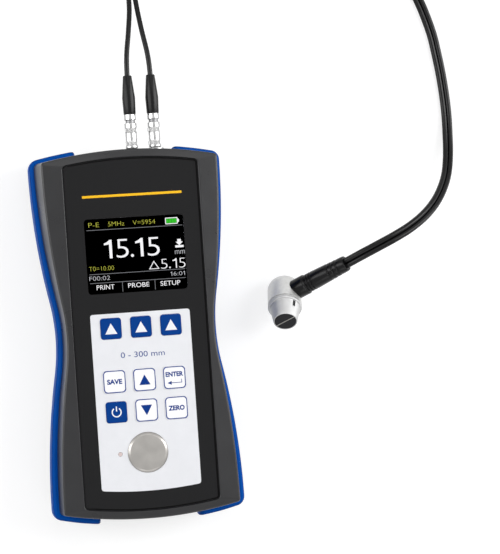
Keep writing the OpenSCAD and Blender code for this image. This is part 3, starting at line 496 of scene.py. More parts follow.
def half_outline(waist, end, length, corner, hollow, bow, stop_x=0.0, side_n=44, corner_n=7, end_n=16):
    """Right half of the hourglass, from the bottom end to the top end."""
    bow_y = length - bow
    y1 = bow_y + math.sqrt((bow - corner) ** 2 - (end - corner) ** 2)
    turn = math.atan2(y1 - bow_y, end - corner)
    last = math.acos(stop_x / bow)
    top = []
    for i in range(1, corner_n + 1):
        a = turn * i / corner_n
        top.append((end - corner + corner * math.cos(a), y1 + corner * math.sin(a)))
    for i in range(1, end_n + 1):
        a = turn + (last - turn) * i / end_n
        top.append((bow * math.cos(a), bow_y + bow * math.sin(a)))
    levels = [y1 * i / side_n for i in range(-side_n, side_n + 1)]
    side = [(side_x(y, waist, end, y1, hollow), y) for y in levels]
    return np.array([(x, -y) for x, y in reversed(top)] + side + top)


def shell_half(waist_in, side_in, end_in, **counts):
    """The shells' outline, moved in by its own amount at the waist, the sides and the ends."""
    corner = max(CORNER_RADIUS - min(side_in, end_in), 1)
    sizes = (HALF_WAIST - waist_in, HALF_END - side_in, HALF_LENGTH - end_in, corner)
    return half_outline(*sizes, WAIST_RADIUS + waist_in, END_RADIUS - end_in, **counts)


def panel_half(inset):
    width, corner = PANEL_HALF_WIDTH - inset, max(PANEL_CORNER - inset, 0.5)
    return half_outline(width, width, PANEL_HALF_LENGTH - inset, corner, WAIST_RADIUS, PANEL_END_RADIUS)


def bumper_half(out):
    """A bumper's path along the shells, moved out, ending beside the centre line."""
    return shell_half(-out, -out, -out, stop_x=BUMPER_END_X, corner_n=10, end_n=30)


def ring_of(half, z):
    """Closed ring from a right half, mirrored, at one height or at one height for each point."""
    left = half[-2:0:-1] * (-1, 1)
    heights = np.broadcast_to(z, len(half))
    points = np.vstack([half, left])
    return np.column_stack([points, np.concatenate([heights, heights[-2:0:-1]])])


def rounded(width, height, radius, at=(0, 0), steps=8):
    """Corner points of a rounded rectangle."""
    points = []
    for quarter in range(4):
        cx = (width / 2 - radius) * (1 if quarter in (0, 3) else -1)
        cy = (height / 2 - radius) * (1 if quarter < 2 else -1)
        for i in range(steps + 1):
            a = math.pi / 2 * (quarter + i / steps)
            points.append((at[0] + cx + radius * math.cos(a), at[1] + cy + radius * math.sin(a)))
    return np.array(points)


def oblong(x0, y0, x1, y1):
    return np.array([(x0, y0), (x1, y0), (x1, y1), (x0, y1)])


def disc(diameter, at=(0, 0), steps=48):
    angles = np.linspace(0, 2 * math.pi, steps, endpoint=False)
    return np.column_stack([at[0] + diameter / 2 * np.cos(angles), at[1] + diameter / 2 * np.sin(angles)])


def quarter_turn(steps):
    return [math.pi / 2 * i / steps for i in range(steps + 1)]


def between(a, b, share):
    return a + (b - a) * share


def bend(start, corner, end, steps):
    """Points or rings along a curve that leaves the start and meets the end, both towards a shared corner."""
    shares = [i / steps for i in range(steps + 1)]
    return [(1 - t) ** 2 * start + 2 * t * (1 - t) * corner + t * t * end for t in shares]


def raised(outline, z):
    return np.column_stack([outline, np.full(len(outline), z)])


def sides(pairs, around):
    """Faces between pairs of rings, given by their numbers, of as many points each."""
    faces = []
    for a, b in pairs:
        for i in range(around):
            j = (i + 1) % around
            faces.append([a * around + i, a * around + j, b * around + j, b * around + i])
    return faces


def loft(name, rings, angle=32, merge=False):
    """A closed solid through rings that run the same way round."""
    around, last = len(rings[0]), len(rings) - 1
    faces = [list(range(around))[::-1]]
    faces += sides([(k, k + 1) for k in range(last)], around)
    faces.append([last * around + i for i in range(around)])
    return build(name, np.vstack(rings), faces, angle, merge)


def prism(name, outline, z0, z1):
    return loft(name, [raised(outline, z0), raised(outline, z1)])


def box_tool(x, y0, y1, z0, z1):
    return prism("box", oblong(-x, y0, x, y1), z0, z1)


def bead(before, corner, after, reach, steps=4):
    """Rings that round the edge at one ring, between the rings before and after it."""

    def near(ring):
        gap = ring - corner
        length = np.linalg.norm(gap, axis=1, keepdims=True)
        return corner + gap * np.minimum(reach / np.maximum(length, 1e-9), 0.5)

    return bend(near(before), corner, near(after), steps)


STRAIGHT = math.radians(165)
CORNER_SHARE = 0.42


def softened(profile, reach, steps=3):
    """Rounds the corners of a closed profile, apart from those on the axis."""
    points = [Vector(p) for p in profile]
    result = []
    for i, corner in enumerate(points):
        back, on = points[i - 1] - corner, points[(i + 1) % len(points)] - corner
        if corner.x < TINY or reach == 0 or back.angle(on) > STRAIGHT:
            result.append(corner)
            continue
        start = corner + back * min(reach / back.length, CORNER_SHARE)
        end = corner + on * min(reach / on.length, CORNER_SHARE)
        result += bend(start, corner, end, steps)
    return result


def rod(radius, z0, z1):
    """Profile of a plain round bar."""
    return [(0, z0), (radius, z0), (radius, z1), (0, z1)]


def lathe(name, profile, matrix, reach=0.12, steps=72, angle=40):
    """Turns a closed profile of radius and height about Z and puts it in place, in millimetres."""
    line = softened(profile, reach)
    angles = [2 * math.pi * i / steps for i in range(steps)]
    points = [matrix @ Vector((p.x * math.cos(a), p.x * math.sin(a), p.y)) for p in line for a in angles]
    pairs = [(k, (k + 1) % len(line)) for k in range(len(line))]
    faces = sides([(a, b) for a, b in pairs if max(line[a].x, line[b].x) >= TINY], steps)
    return build(name, points, faces, angle, merge=True)


# Places of turned parts
def on_socket(index):
    return Matrix.Translation((SOCKET_X[index], SOCKET_FLAT, SOCKET_Z)) @ turned("X", -90)


def probe_place():
    """The probe's face and axis, leaning on the rounded back."""
    x, y, z = (turned(axis, angle) for axis, angle in zip("XYZ", PROBE_TURN))
    tilt = abs(math.cos(math.radians(PROBE_TURN[0])) * math.cos(math.radians(PROBE_TURN[1])))
    lift = (PROBE_LENGTH - PROBE_ROUND) * tilt
    lift += (PROBE_RADIUS - PROBE_ROUND) * math.sqrt(1 - tilt * tilt) + PROBE_ROUND
    return Matrix.Translation((*PROBE_FACE, lift)) @ z @ y @ x


ON_PROBE = probe_place()
ON_OUTLET = ON_PROBE @ Matrix.Translation((PROBE_BOOT_SEAT, 0, PROBE_OUTLET)) @ turned("Y", 90)
PLUG_PLACES = [in_metres(on_socket(index)) for index in (0, 1)]
PLUG_METAL = ((0.46, 0.46, 0.46), 0.17)

add_camera()
CABLE_TREE = cable_tree()
KNURL_TREE = knurl_tree()
SPREAD_TREE = spread_tree()
RECIPES = (
    (moulded, "shell_grey", colour_of(33, 33, 35), 0.31, 0.4),
    (rubber, "bumper_blue", colour_of(0, 76, 165), 0.45, 0.04),
    (printed, "label_black", colour_of(28, 28, 29), 0.5, 0.1),
    (clear_pane, "window_clear"),
    (unlit, "display_black"),
    (printed, "film_white", colour_of(232, 233, 237), 0.42),
    (printed, "key_blue", colour_of(6, 60, 136), 0.42, 0.06),
    (turned_metal, "steel", (0.5, 0.49, 0.47), 0.32, Matrix.Identity(4)),
    (turned_metal, "nickel", *PLUG_METAL, PLUG_PLACES[0]),
    (turned_metal, "brass", (0.78, 0.58, 0.26), 0.25, PLUG_PLACES[0]),
    (printed, "board_green", colour_of(30, 96, 62), 0.4),
    (blasted_metal, "chip_grey", (0.45, 0.45, 0.46), 0.4),
    (printed, "cell_wrap", colour_of(190, 150, 70), 0.3, 0.5),
    (rubber, "cable_black", colour_of(9, 9, 10), 0.26, 0.22),
    (rubber, "boot_black", colour_of(8, 8, 9), 0.24, 0.2),
    (blasted_metal, "alloy", (0.66, 0.66, 0.65), 0.5, 0.5, 0.08),
    (blasted_metal, "element_dark", (0.025, 0.025, 0.027), 0.5),
    (printed, "barrier_cork", colour_of(170, 168, 160), 0.6),
    (printed, "lamp_clear", colour_of(214, 196, 193), 0.25, 0.6),
    (rubber, "gasket_black", colour_of(24, 24, 24), 0.7),
    (blasted_metal, "screw_black", (0.09, 0.09, 0.095), 0.42),
    (printed, "ink_blue", colour_of(14, 56, 134), 0.45, 0.06),
    (printed, "key_white", colour_of(250, 250, 251), 0.42),
    (blasted_metal, "grip_nickel", (0.36, 0.36, 0.36), 0.42),
    # painted shade: dark metal for the plug barrel, seen in the gap behind the sleeve
    (blasted_metal, "barrel_dark", (0.2, 0.2, 0.205), 0.35),
    (printed, "ink_white", colour_of(240, 241, 244), 0.42),
    # painted shade: the black of the line round the label's recess edge
    (printed, "ink_black", colour_of(8, 8, 8), 0.6, 0.05),
    (printed, "ink_yellow", colour_of(250, 190, 20), 0.45),
    (turned_metal, "probe_nickel", (0.53, 0.53, 0.53), 0.58, in_metres(ON_PROBE)),
    (glowing, "lit_white", (1.0, 1.0, 1.0), 1.06),
    (glowing, "lit_yellow", colour_of(208, 210, 84)),
    (glowing, "lit_green", colour_of(60, 205, 50)),
    (glowing, "lit_grey", colour_of(135, 137, 140)),
    (glowing, "lit_soft", colour_of(205, 207, 210)),
    (turned_metal, "plug_nickel_1", *PLUG_METAL, PLUG_PLACES[0]),
    (turned_metal, "plug_nickel_2", *PLUG_METAL, PLUG_PLACES[1]),
    (faced_steel, "disc_steel", (0.37, 0.356, 0.338), 0.32, Vector((*DISC_AT, HEIGHT)) * MM),
)
FINISHES = {name: make(name, *values) for make, name, *values in RECIPES}
for entry in frame["record"]["subparts"]:
    solid = nodes[entry["node"]]
    solid.data.materials.clear()
    solid.data.materials.append(FINISHES[entry["material_slot"]])


# Lead: routes in millimetres
TAIL_X = ((3.8, 5.8, 7.6, 8.3, 8.6, 8.7), (14.3, 12.6, 11.5, 11.2, 11.2, 11.3))
TAIL_FALL = ((140, 26.3), (152, 23.8), (164, 19.5), (176, 13), (188, 6), (198, 2.1))
SPLITTER_AT = (10, 198, 2.1)
SPLITTER_LENGTH = 12.0
OUT_ROUTE = [(11, 221, 1.5), (16.5, 235, 1.4), (29, 246, 1.4), (46, 251.5, 1.4), (66, 253, 1.4)]
COIL_CENTRE = (92.0, 215.0)
COIL_RADII = (36.6, 23.8)
COIL_LEVELS = (1.4, 4.2)
COIL_START = math.radians(104)
COIL_SWEEP = math.radians(1520)
COIL_CLIMB = math.radians(70)
COIL_STEPS = 110
DOWN_ROUTE = [(133, 205.5, 2.6), (138.5, 198, 1.5)]
BACK_ROUTE = [
    (148, 188, 1.4), (161, 170, 1.4), (168.5, 150, 1.4), (171.5, 135, 1.4), (173.5, 120, 1.4),
    (174.5, 105, 1.5), (174, 93, 3), (172.5, 82, 6.5), (169.5, 72, 12), (164.5, 63.5, 19), (158, 56, 26),
    (150, 49.5, 32.5), (141, 44, 37.4), (132, 39.6, 39.8), (122.8, 35.4, 39.3), (114.7, 31.6, 36.8),
]
PLUG_BOOT_START = 18.4
PLUG_BOOT_LENGTH = 19.5
PLUG_LEAD_IN = 2.0
PROBE_LEAD_IN = 2
SPLITTER_LEAD_IN = 1
JACKET_WELD = 0.04
JACKET_SIDES = 16
TIE_ANGLE = 250
TIE_WIDTH = 9.0
TIE_T = 0.5
TIE_FLOOR = 0.02


def smooth_route(points, parts=6):
    """Points along a smooth curve through the given ones."""
    p = np.array(points, float)
    last = len(p) - 1
    line = []
    for i in range(last):
        a, b, c, d = p[max(i - 1, 0)], p[i], p[i + 1], p[min(i + 2, last)]
        square, cube = 2 * a - 5 * b + 4 * c - d, 3 * b - a - 3 * c + d
        for t in [s / parts for s in range(parts)]:
            line.append(0.5 * (2 * b + (c - a) * t + square * t**2 + cube * t**3))
    return np.array(line + [p[last]])


def coil_route():
    """Two turns inwards on the table and two turns outwards on top of them."""
    half = COIL_SWEEP / 2
    points = []
    for i in range(COIL_STEPS + 1):
        turn = COIL_SWEEP * i / COIL_STEPS
        radius = between(COIL_RADII[1], COIL_RADII[0], abs(turn - half) / half)
        rise = min(max((turn - half) / COIL_CLIMB + 0.5, 0), 1)
        level = between(*COIL_LEVELS, rise * rise * (3 - 2 * rise))
        a = COIL_START - turn
        points.append((COIL_CENTRE[0] + radius * math.cos(a), COIL_CENTRE[1] + radius * math.sin(a), level))
    return points


def sweep_cable(name, line, radius, spread):
    mesh = bpy.data.meshes.new(name)
    mesh.from_pydata((line * MM).tolist(), [(i, i + 1) for i in range(len(line) - 1)], [])
    cable = add_object(name, mesh)
    sizes = {"Radius": radius * MM, "Spread": spread * MM, "Sides": JACKET_SIDES}
    run_tree(cable, CABLE_TREE, **sizes, Material=FINISHES["cable_black"])
    merge_mesh(cable.data, 1e-8)
    shade(cable.data, 50)
    return cable


def copied(node, name, reach):
    """A copy of a solid with its sharp edges rounded off."""
    mesh = nodes[node].data.copy()
    mesh.name = name
    bm = bmesh.new()
    bm.from_mesh(mesh)
    bmesh.ops.remove_doubles(bm, verts=bm.verts, dist=TINY)
    bmesh.ops.dissolve_limit(bm, angle_limit=math.radians(1), verts=bm.verts, edges=bm.edges)
    bm.to_mesh(mesh)
    bm.free()
    piece = add_object(name, mesh)
    edge = piece.modifiers.new("edge", "BEVEL")
    edge.width = reach * MM
    edge.segments = 2
    edge.limit_method = "ANGLE"
    edge.angle_limit = math.radians(35)
    plain(piece)
    shade(piece.data, 40)
    return piece


def make_tie():
    """A woven strap round the coil's turns."""
    low, high = COIL_RADII[1] - LEAD_D - 0.8, COIL_RADII[0] + LEAD_D + 0.4
    top = COIL_LEVELS[1] + LEAD_D / 2
    x, z = (low + high) / 2, top / 2 + 0.1
    outer = rounded(high - low + 2 * TIE_T, top + 2 * TIE_T - 0.4, 1.6, (x, z + 0.2))
    inner = rounded(high - low, top - 0.3, 1.2, (x, z))
    turn = Matrix.Translation((*COIL_CENTRE, 0)) @ turned("Z", TIE_ANGLE)
    points = []
    for across in (-TIE_WIDTH / 2, TIE_WIDTH / 2):
        for outline in (outer, inner):
            points += [turn @ Vector((x, across, max(z, TIE_FLOOR))) for x, z in outline]
    faces = sides([(0, 1), (3, 2), (2, 0), (1, 3)], len(outer))
    return dress(build("coil_tie", points, faces, 35, merge=True), "cable_black", finish="gasket_black")


def make_lead():
    """The two tails, their splitter, and the twin lead by its coil to the probe."""
    splitter = copied("lead_splitter", "splitter", 0.5)
    dress(splitter, "boot_black", "lead_splitter")
    for index, across in enumerate(TAIL_X):
        boot_y = SOCKET_FLAT + PLUG_BOOT_START
        straight = [(SOCKET_X[index], boot_y + along, SOCKET_Z) for along in (PLUG_LEAD_IN, PLUG_BOOT_LENGTH)]
        line = smooth_route(straight + [(x, *fall) for x, fall in zip(across, TAIL_FALL)])
        tail = sweep_cable(f"tail_{index + 1}", line, CABLE_D / 2, 0.0)
        dress(tail, "cable_black", f"lead_tail_{index + 1}")
    start = (SPLITTER_AT[0], SPLITTER_AT[1] + SPLITTER_LENGTH - SPLITTER_LEAD_IN, SPLITTER_AT[2])
    ends = [ON_OUTLET @ Vector((0, 0, PROBE_BOOT_LENGTH - inside)) for inside in (0, PROBE_LEAD_IN)]
    line = smooth_route([start] + OUT_ROUTE + coil_route() + DOWN_ROUTE + BACK_ROUTE + ends, 4)
    lead = sweep_cable("twin_lead", line, LEAD_D / 2, LEAD_D / 2 - JACKET_WELD)
    dress(lead, "cable_black", "lead_out", "lead_coil", "lead_back")
    tie = make_tie()


# Case: cutters run past the surface by OVER, and seats are wider than what sits in them by FIT
OVER = 1
FIT = 0.2
LIP = 0.25
RIM_BEAD = 0.35
CHANNEL_GAP = 0.12
HOLLOW_CORNER = 1.0
FLANGE_SEAT = 3
SHANK_HOLE = 6
SCREW_SIDE = 8.0
SCREW_END = 11.8
SCREW_HEAD = 5.4
SCREW_TOP = 10.0
SCREW_HEAD_T = 2.4
SCREW_EDGE = 0.5
SCREW_R = 1.5
SCREW_LENGTH = 16
SCREW_WELL = 6.0
SCREW_KEY = (2.9, 1.3)
PANE_LEDGE = 1.4
PANE_T = 1.4
DISC_D = 20.0
DISC_T = 4
DISC_CHAMFER = (1.15, 0.8)
LAMP_D = 2.0
LAMP_LOW = 33.5
STEM_HOLE = 5.6
BAY_HALF = 29.4
BAY_START = 17.8 - HALF_LENGTH
BAY_END = BAY_START + 56.2
BAY_ROOF = 17.2
BAY_WALL = 1.6
DOOR_END = corners("battery_door")[1].y
DOOR_TOP = corners("battery_door")[1].z
DOOR_GAP = 0.1
DOOR_EDGE = 0.25
TONGUE = 1.5
TONGUE_T = 1.1
BUMPER_MIDDLE = (BUMPER_LOW + BUMPER_HIGH) / 2
BUMPER_ROUND = 1.7
BUMPER_CROWN = 0.4
BUMPER_CORNER = 3.0
BUMPER_FADE = 2.0
BUMPER_THIN = 0.55
BUMPER_FOOT = 0.9
BUMPER_FOOT_FROM = 9
BUMPER_FOOT_RUN = 6


def bumper_turn():
    """The fall of the bumpers towards the top end, about their middle height."""
    pivot = Matrix.Translation((0, 0, BUMPER_MIDDLE))
    return in_metres(pivot @ turned("X", -BUMPER_SLOPE) @ pivot.inverted())


def bumper_channels():
    """Cutters for the seats of the two bumpers, a hair larger than the bumpers."""
    ribbon = np.vstack([bumper_half(-BUMPER_SEAT), bumper_half(2 * BUMPER_PROUD)[::-1]])
    tools = []
    for outline in (ribbon[::-1], ribbon * (-1, 1)):
        tool = prism("channel", outline, BUMPER_LOW - CHANNEL_GAP, BUMPER_HIGH + CHANNEL_GAP)
        merge_mesh(tool.data)
        tool.data.transform(bumper_turn())
        tools.append(tool)
    return tools


def hollow(waist, end, length, z0, z1):
    half = half_outline(waist, end, length, HOLLOW_CORNER, WAIST_RADIUS, END_RADIUS)
    return loft("hollow", [ring_of(half, z0), ring_of(half, z1)])


def front_case():
    """Upper shell: drafted sides, wings that fall from the panel's rim, the panel's recess, hollow below."""

    def wall(extra, share=1.0):
        return shell_half(*(draft * share + extra for draft in (WAIST_DRAFT, SIDE_DRAFT, END_DRAFT)))

    edge_half = wall(EDGE_RADIUS)
    rim_half = panel_half(0)
    fall = HEIGHT - math.tan(WING_SLOPE) * np.linalg.norm(edge_half - rim_half, axis=1)
    foot = ring_of(wall(0, 0), PARTING + LIP)
    top = ring_of(wall(0), fall - EDGE_RADIUS)
    edge = ring_of(edge_half, fall)
    rim = ring_of(rim_half, HEIGHT)
    base = ring_of(panel_half(RECESS_SLOPE), PANEL_Z)
    rings = [ring_of(wall(LIP, 0), PARTING), foot, between(foot, top, 0.02), between(foot, top, 0.97)]
    rings += bend(top, ring_of(wall(0), fall), edge, 7)
    rings += [between(edge, rim, 0.05), between(edge, rim, 0.9)]
    rings += bead(edge, rim, base, RIM_BEAD) + [base]
    case = loft("front_case", rings)
    inside = (HALF_WAIST - WAIST_DRAFT - WALL, HALF_END - SIDE_DRAFT - WALL, HALF_LENGTH - END_DRAFT - WALL)
    pane = [side + 2 * PANE_LEDGE + FIT for side in WINDOW]
    below = ROOF_Z - OVER
    tools = bumper_channels() + [
        hollow(*inside, PARTING - OVER, ROOF_Z),
        prism("pocket", rounded(*pane, WINDOW_CORNER, (0, WINDOW_Y)), PANEL_Z - PANE_T, PANEL_Z + OVER),
        prism("window", rounded(*WINDOW, WINDOW_CORNER, (0, WINDOW_Y)), below, PANEL_Z),
        prism("disc_seat", disc(DISC_D + FIT, DISC_AT), HEIGHT - DISC_T, HEIGHT + OVER),
        prism("lamp_hole", disc(LAMP_D + FIT, LAMP_AT), below, HEIGHT + OVER),
    ]
    for name in KEY_NAMES:
        tools.append(prism("stem_hole", disc(STEM_HOLE, middle(name)), below, PANEL_Z + OVER))
    for index in (0, 1):
        place = on_socket(index)
        tools.append(lathe("flange_seat", rod(SOCKET_FLANGE_R + FIT, 0, FLANGE_SEAT), place, 0))
        tools.append(lathe("shank_hole", rod(SOCKET_SHANK_R + FIT / 2, -SHANK_HOLE, OVER), place, 0))
    carve(case, tools)
    dress(case, "shell_grey", "front_shell")


def screw_places():
    x, y = HALF_END - SCREW_SIDE, HALF_LENGTH - SCREW_END
    return oblong(-x, -y, x, y)


def rear_case():
    """Lower shell: rounded back, the battery bay with its door slot and rails, and four screw wells."""
    rings = []
    for a in quarter_turn(8):
        inset = BACK_ROUND * (1 - math.sin(a))
        rings.append(ring_of(shell_half(inset, inset, inset), BACK_ROUND_H * (1 - math.cos(a))))
    flush = shell_half(0, 0, 0)
    rings += [ring_of(flush, z) for z in (BACK_ROUND_H + 0.4, PARTING - LIP - 0.3, PARTING - LIP)]
    rings.append(ring_of(shell_half(LIP, LIP, LIP), PARTING))
    case = loft("rear_case", rings)
    inside = [half - WALL - BUMPER_SEAT for half in (HALF_WAIST, HALF_END, HALF_LENGTH)]
    carve(case, [hollow(*inside, BACK_T, PARTING + OVER)])
    bay = (BAY_HALF + BAY_WALL, BAY_START - BAY_WALL, BAY_END + BAY_WALL)
    carve(case, [box_tool(*bay, BACK_T - OVER, BAY_ROOF + BAY_WALL)], "UNION")
    run, stop, roof = -HALF_LENGTH - OVER, DOOR_END + DOOR_GAP, DOOR_TOP + DOOR_GAP
    tools = bumper_channels() + [
        box_tool(BAY_HALF, BAY_START, BAY_END, -OVER, BAY_ROOF),
        box_tool(BAY_HALF + DOOR_GAP, run, stop, -OVER, roof),
        box_tool(BAY_HALF + TONGUE + DOOR_GAP, run, stop, DOOR_TOP - TONGUE_T, roof),
    ]
    tools += [prism("well", disc(SCREW_WELL, at), -OVER, SCREW_TOP) for at in screw_places()]
    carve(case, tools)
    dress(case, "shell_grey", "rear_shell")


def bumper(name, mirror, node):
    """A crowned strip round one side, with rounded corners at both ends where it thins out."""
    body = BUMPER_PROUD - BUMPER_CROWN
    flush = bumper_half(0)
    along = np.concatenate([[0], np.cumsum(np.linalg.norm(np.diff(flush, axis=0), axis=1))])
    to_end = np.minimum(along, along[-1] - along)
    half = (BUMPER_HIGH - BUMPER_LOW) / 2
    profile = [(-BUMPER_SEAT, -1.0, 0.0)]
    for a in quarter_turn(6):
        profile.append((body - BUMPER_ROUND * (1 - math.sin(a)), -1.0, BUMPER_ROUND * (1 - math.cos(a))))
    for i in range(1, 10):
        u = i / 5 - 1
        profile.append((body + BUMPER_CROWN * (1 - u * u), u, 0.0))
    profile += [(out, 1.0, drop) for out, _, drop in profile[7::-1]]
    outlines = [bumper_half(out) for out, _, _ in profile]
    rings = []
    for i, at in enumerate(flush):
        near = max(1 - to_end[i] / BUMPER_CORNER, 0)
        reach = half - BUMPER_CORNER * (1 - math.sqrt(1 - near * near))
        fade = between(BUMPER_THIN, 1, math.sqrt(1 - max(1 - to_end[i] / BUMPER_FADE, 0) ** 2))
        foot = BUMPER_FOOT * min(max((-at[1] - HALF_LENGTH + BUMPER_FOOT_FROM) / BUMPER_FOOT_RUN, 0), 1)
        ring = []
        for (out, u, drop), outline in zip(profile, outlines):
            x, y = at + (outline[i] - at) * (fade if out > 0 else 1)
            y -= foot * max(out, 0) / BUMPER_PROUD
            ring.append((-x if mirror else x, y, BUMPER_MIDDLE + u * reach - math.copysign(drop, u)))
        rings.append(ring)
    strip = loft(name, rings, 50, merge=True)
    strip.data.transform(bumper_turn())
    dress(strip, "bumper_blue", node)


def case_screws():
    """Four cap screws with hexagon sockets at the bottom of their wells."""
    r, low, end = SCREW_HEAD / 2, SCREW_TOP - SCREW_HEAD_T, SCREW_TOP + SCREW_LENGTH
    profile = [(0, low), (r - SCREW_EDGE, low), (r, low + SCREW_EDGE), (r, SCREW_TOP)]
    profile += [(SCREW_R, SCREW_TOP), (SCREW_R, end), (0, end)]
    screw = lathe("screw", profile, Matrix.Identity(4), 0.15, 36)
    width, depth = SCREW_KEY
    carve(screw, [prism("key_hole", disc(width, steps=6), low - OVER, low + depth)])
    mesh = bpy.data.meshes.new("screw_places")
    mesh.from_pydata([(x * MM, y * MM, 0) for x, y in screw_places()], [], [])
    screws = add_object("cap_screws", mesh)
    run_tree(screws, SPREAD_TREE, Piece=screw, Material=FINISHES["screw_black"])
    bpy.data.objects.remove(screw)
    merge_mesh(screws.data)
    shade(screws.data, 35)
    dress(screws, "screw_black", "case_screws")


# Printing and keys
KEY_NAMES = (
    "key_soft_left", "key_soft_middle", "key_soft_right",
    "key_save", "key_up", "key_enter",
    "key_power", "key_down", "key_zero",
)
BLUE_KEYS = (*KEY_NAMES[:3], "key_power")
BLUE_KEY = 10.2
WHITE_KEY = 11.4
KEY_CORNER = 1.3
WHITE_CORNER = 1.9
KEY_TOP = FILM_Z + 0.4
KEY_CAP_T = 0.45
KEY_EDGE = 0.16
KEY_WEIGHT = 0.04
KEY_WORDS = {
    "key_save": ("SAVE", 0, 7.5, 2.5),
    "key_zero": ("ZERO", 0, 8.1, 2.5),
    "key_enter": ("ENTER", 1.7, 8.8, 2.4),
}
STEM_D = 5.0
STEM_LOW = 34.85
INK_T = 0.012
KEY_FRAME = 0.48
KEY_GAP = 0.2
KEY_LIP_GAP = 0.03
KEY_LIP_SINK = 0.06
KEY_WELL_T = 0.03
KEY_LIP_T = FILM_Z - PANEL_Z - KEY_WELL_T - KEY_LIP_SINK


def key_side(name):
    return BLUE_KEY if name in BLUE_KEYS else WHITE_KEY


def key_outline(name, inset=0.0):
    """Outline of a key's cap, moved in."""
    side = key_side(name) - 2 * inset
    corner = KEY_CORNER if name in BLUE_KEYS else WHITE_CORNER
    return rounded(side, side, corner - inset / 2, middle(name))


def shifted(outline, at):
    return np.asarray(outline, float) + np.asarray(at, float)


def plate(outline, z):
    """A flat print from an outline that runs anticlockwise."""
    return prism("plate", np.asarray(outline, float), z, z + INK_T)


def bar(x0, y0, x1, y1, z):
    return plate(oblong(x0, y0, x1, y1), z)


def hoop(outer, inner, z, thick=INK_T):
    """A flat ring between two outlines with as many points each."""
    points = np.vstack([raised(o, h) for h in (z, z + thick) for o in (outer, inner)])
    return build("hoop", points, sides([(1, 0), (2, 3), (0, 2), (3, 1)], len(outer)))


def arc_band(radius, width, first, last, at, z):
    """Part of a flat ring, between two angles in degrees."""
    angles = np.radians(np.linspace(first, last, 28))
    line = np.column_stack([np.cos(angles), np.sin(angles)])
    outline = np.vstack([(radius + width / 2) * line, (radius - width / 2) * line[::-1]])
    return plate(shifted(outline, at), z)


def lettering(text, at, width, height, z, weight=0.0):
    """Flat letters that fill a given width and height about their middle."""
    curve = bpy.data.curves.new("letters", "FONT")
    curve.body = text
    curve.offset = weight
    curve.extrude = 0.5
    curve.resolution_u = 4
    letters = add_object("letters", curve)
    mesh = made_mesh(letters)
    bpy.data.objects.remove(letters)
    points = np.array([v.co for v in mesh.vertices])
    low, high = points.min(axis=0), points.max(axis=0)
    scale = Matrix.Diagonal((*(np.array([width, height, INK_T]) * MM / (high - low)), 1))
    place = Vector((at[0], at[1], z + INK_T / 2)) * MM
    mesh.transform(Matrix.Translation(place) @ scale @ Matrix.Translation(-Vector((low + high) / 2)))
    merge_mesh(mesh)
    return add_object("letters", mesh)


def triangle(width, height, at, z, up=True):
    x, y = width / 2, height / 2
    outline = [(-x, -y), (x, -y), (0, y)] if up else [(0, -y), (x, y), (-x, y)]
    return plate(shifted(outline, at), z)


def key_print(name):
    """The symbol or word on one key."""
    x, y = at = middle(name)
    z = KEY_TOP
    if name in ("key_up", "key_down"):
        return [triangle(5.6, 5.1, at, z, name == "key_up")]
    if name == "key_power":
        return [arc_band(2.2, 0.62, 125, 415, at, z), bar(x - 0.31, y + 0.4, x + 0.31, y + 2.9, z)]
    if name in BLUE_KEYS:
        return [triangle(6.0, 5.4, at, z)]
    word, rise, width, height = KEY_WORDS[name]
    pieces = [lettering(word, (x, y + rise), width, height, z, KEY_WEIGHT)]
    if name == "key_enter":
        line = y - 2.6
        pieces += [
            bar(x - 2.2, line - 0.16, x + 3.6, line + 0.16, z),
            bar(x + 3.28, line + 0.16, x + 3.6, line + 1.7, z),
            plate([(x - 3.7, line), (x - 1.6, line - 0.95), (x - 1.6, line + 0.95)], z),
        ]
    return pieces


def make_key(name):
    """A soft-edged cap on its stem, with its print."""
    low, high = KEY_TOP - KEY_CAP_T, KEY_TOP
    levels = [(0, low), (0, high - KEY_EDGE), (KEY_EDGE * 0.3, high - KEY_EDGE * 0.3), (KEY_EDGE, high)]
    levels.append((KEY_EDGE * 2.5, high))
    cap = loft("cap", [raised(key_outline(name, inset), z) for inset, z in levels])
    place = Matrix.Translation((*middle(name), 0))
    stem = lathe("stem", rod(STEM_D / 2, STEM_LOW, low + 0.2), place, 0.2, 40)
    cap = join(name + "_cap", [cap, stem])
    prints = key_print(name)
    if name in BLUE_KEYS:
        dress(cap, "key_blue", name, body=name)
        dress(join(name + "_print", prints), "film_white", body=name, finish="ink_white")
        return
    dress(cap, "film_white", name, body=name, finish="key_white")
    prints.append(hoop(key_outline(name, KEY_EDGE), key_outline(name, KEY_EDGE + KEY_FRAME), KEY_TOP))
    dress(join(name + "_print", prints), "key_blue", body=name, finish="ink_blue")


SCREEN_Z = PANEL_Z - PANE_T - 0.05
SCREEN_LINE = 0.12
READING = (("1", 0.3, 4.2), ("5", 6.3, 12.4), (".", 13.4, 14.9), ("1", 15.9, 19.8), ("5", 21.9, 28.0))
CLOCK = (("1", 0.0, 0.8), ("6:0", 1.5, 5.9), ("1", 6.4, 7.2))
OFFSET = (("5", 0.0, 3.2), (".", 4.0, 4.8), ("1", 5.9, 8.0), ("5", 9.1, 12.3))
MENU_WORDS = (
    ("PRINT", (-16.0, 24.0), 8.9, 2.3, 0.0),
    ("PROBE", (0.6, 24.1), 10.6, 2.3, 0.0),
    ("SETUP", (16.5, 24.0), 10.0, 2.3, 0.0),
)
YELLOW_WORDS = (
    ("P-E", (-19.8, 55.1), 5.3, 2.2, -0.02),
    ("5MHz", (-8.6, 55.1), 8.1, 2.2, -0.02),
    ("V=5954", (5.3, 55.1), 11.2, 2.2, -0.02),
    ("T0=10.00", (-17.4, 33.4), 12.4, 2.1, -0.022),
)
SOFT_WORDS = (("mm", (22.3, 39.1), 5.0, 1.8, -0.012), ("F00:02", (-18.6, 28.6), 10.3, 2.1, -0.014))


def words(rows):
    return [lettering(text, at, width, height, SCREEN_Z, weight) for text, at, width, height, weight in rows]


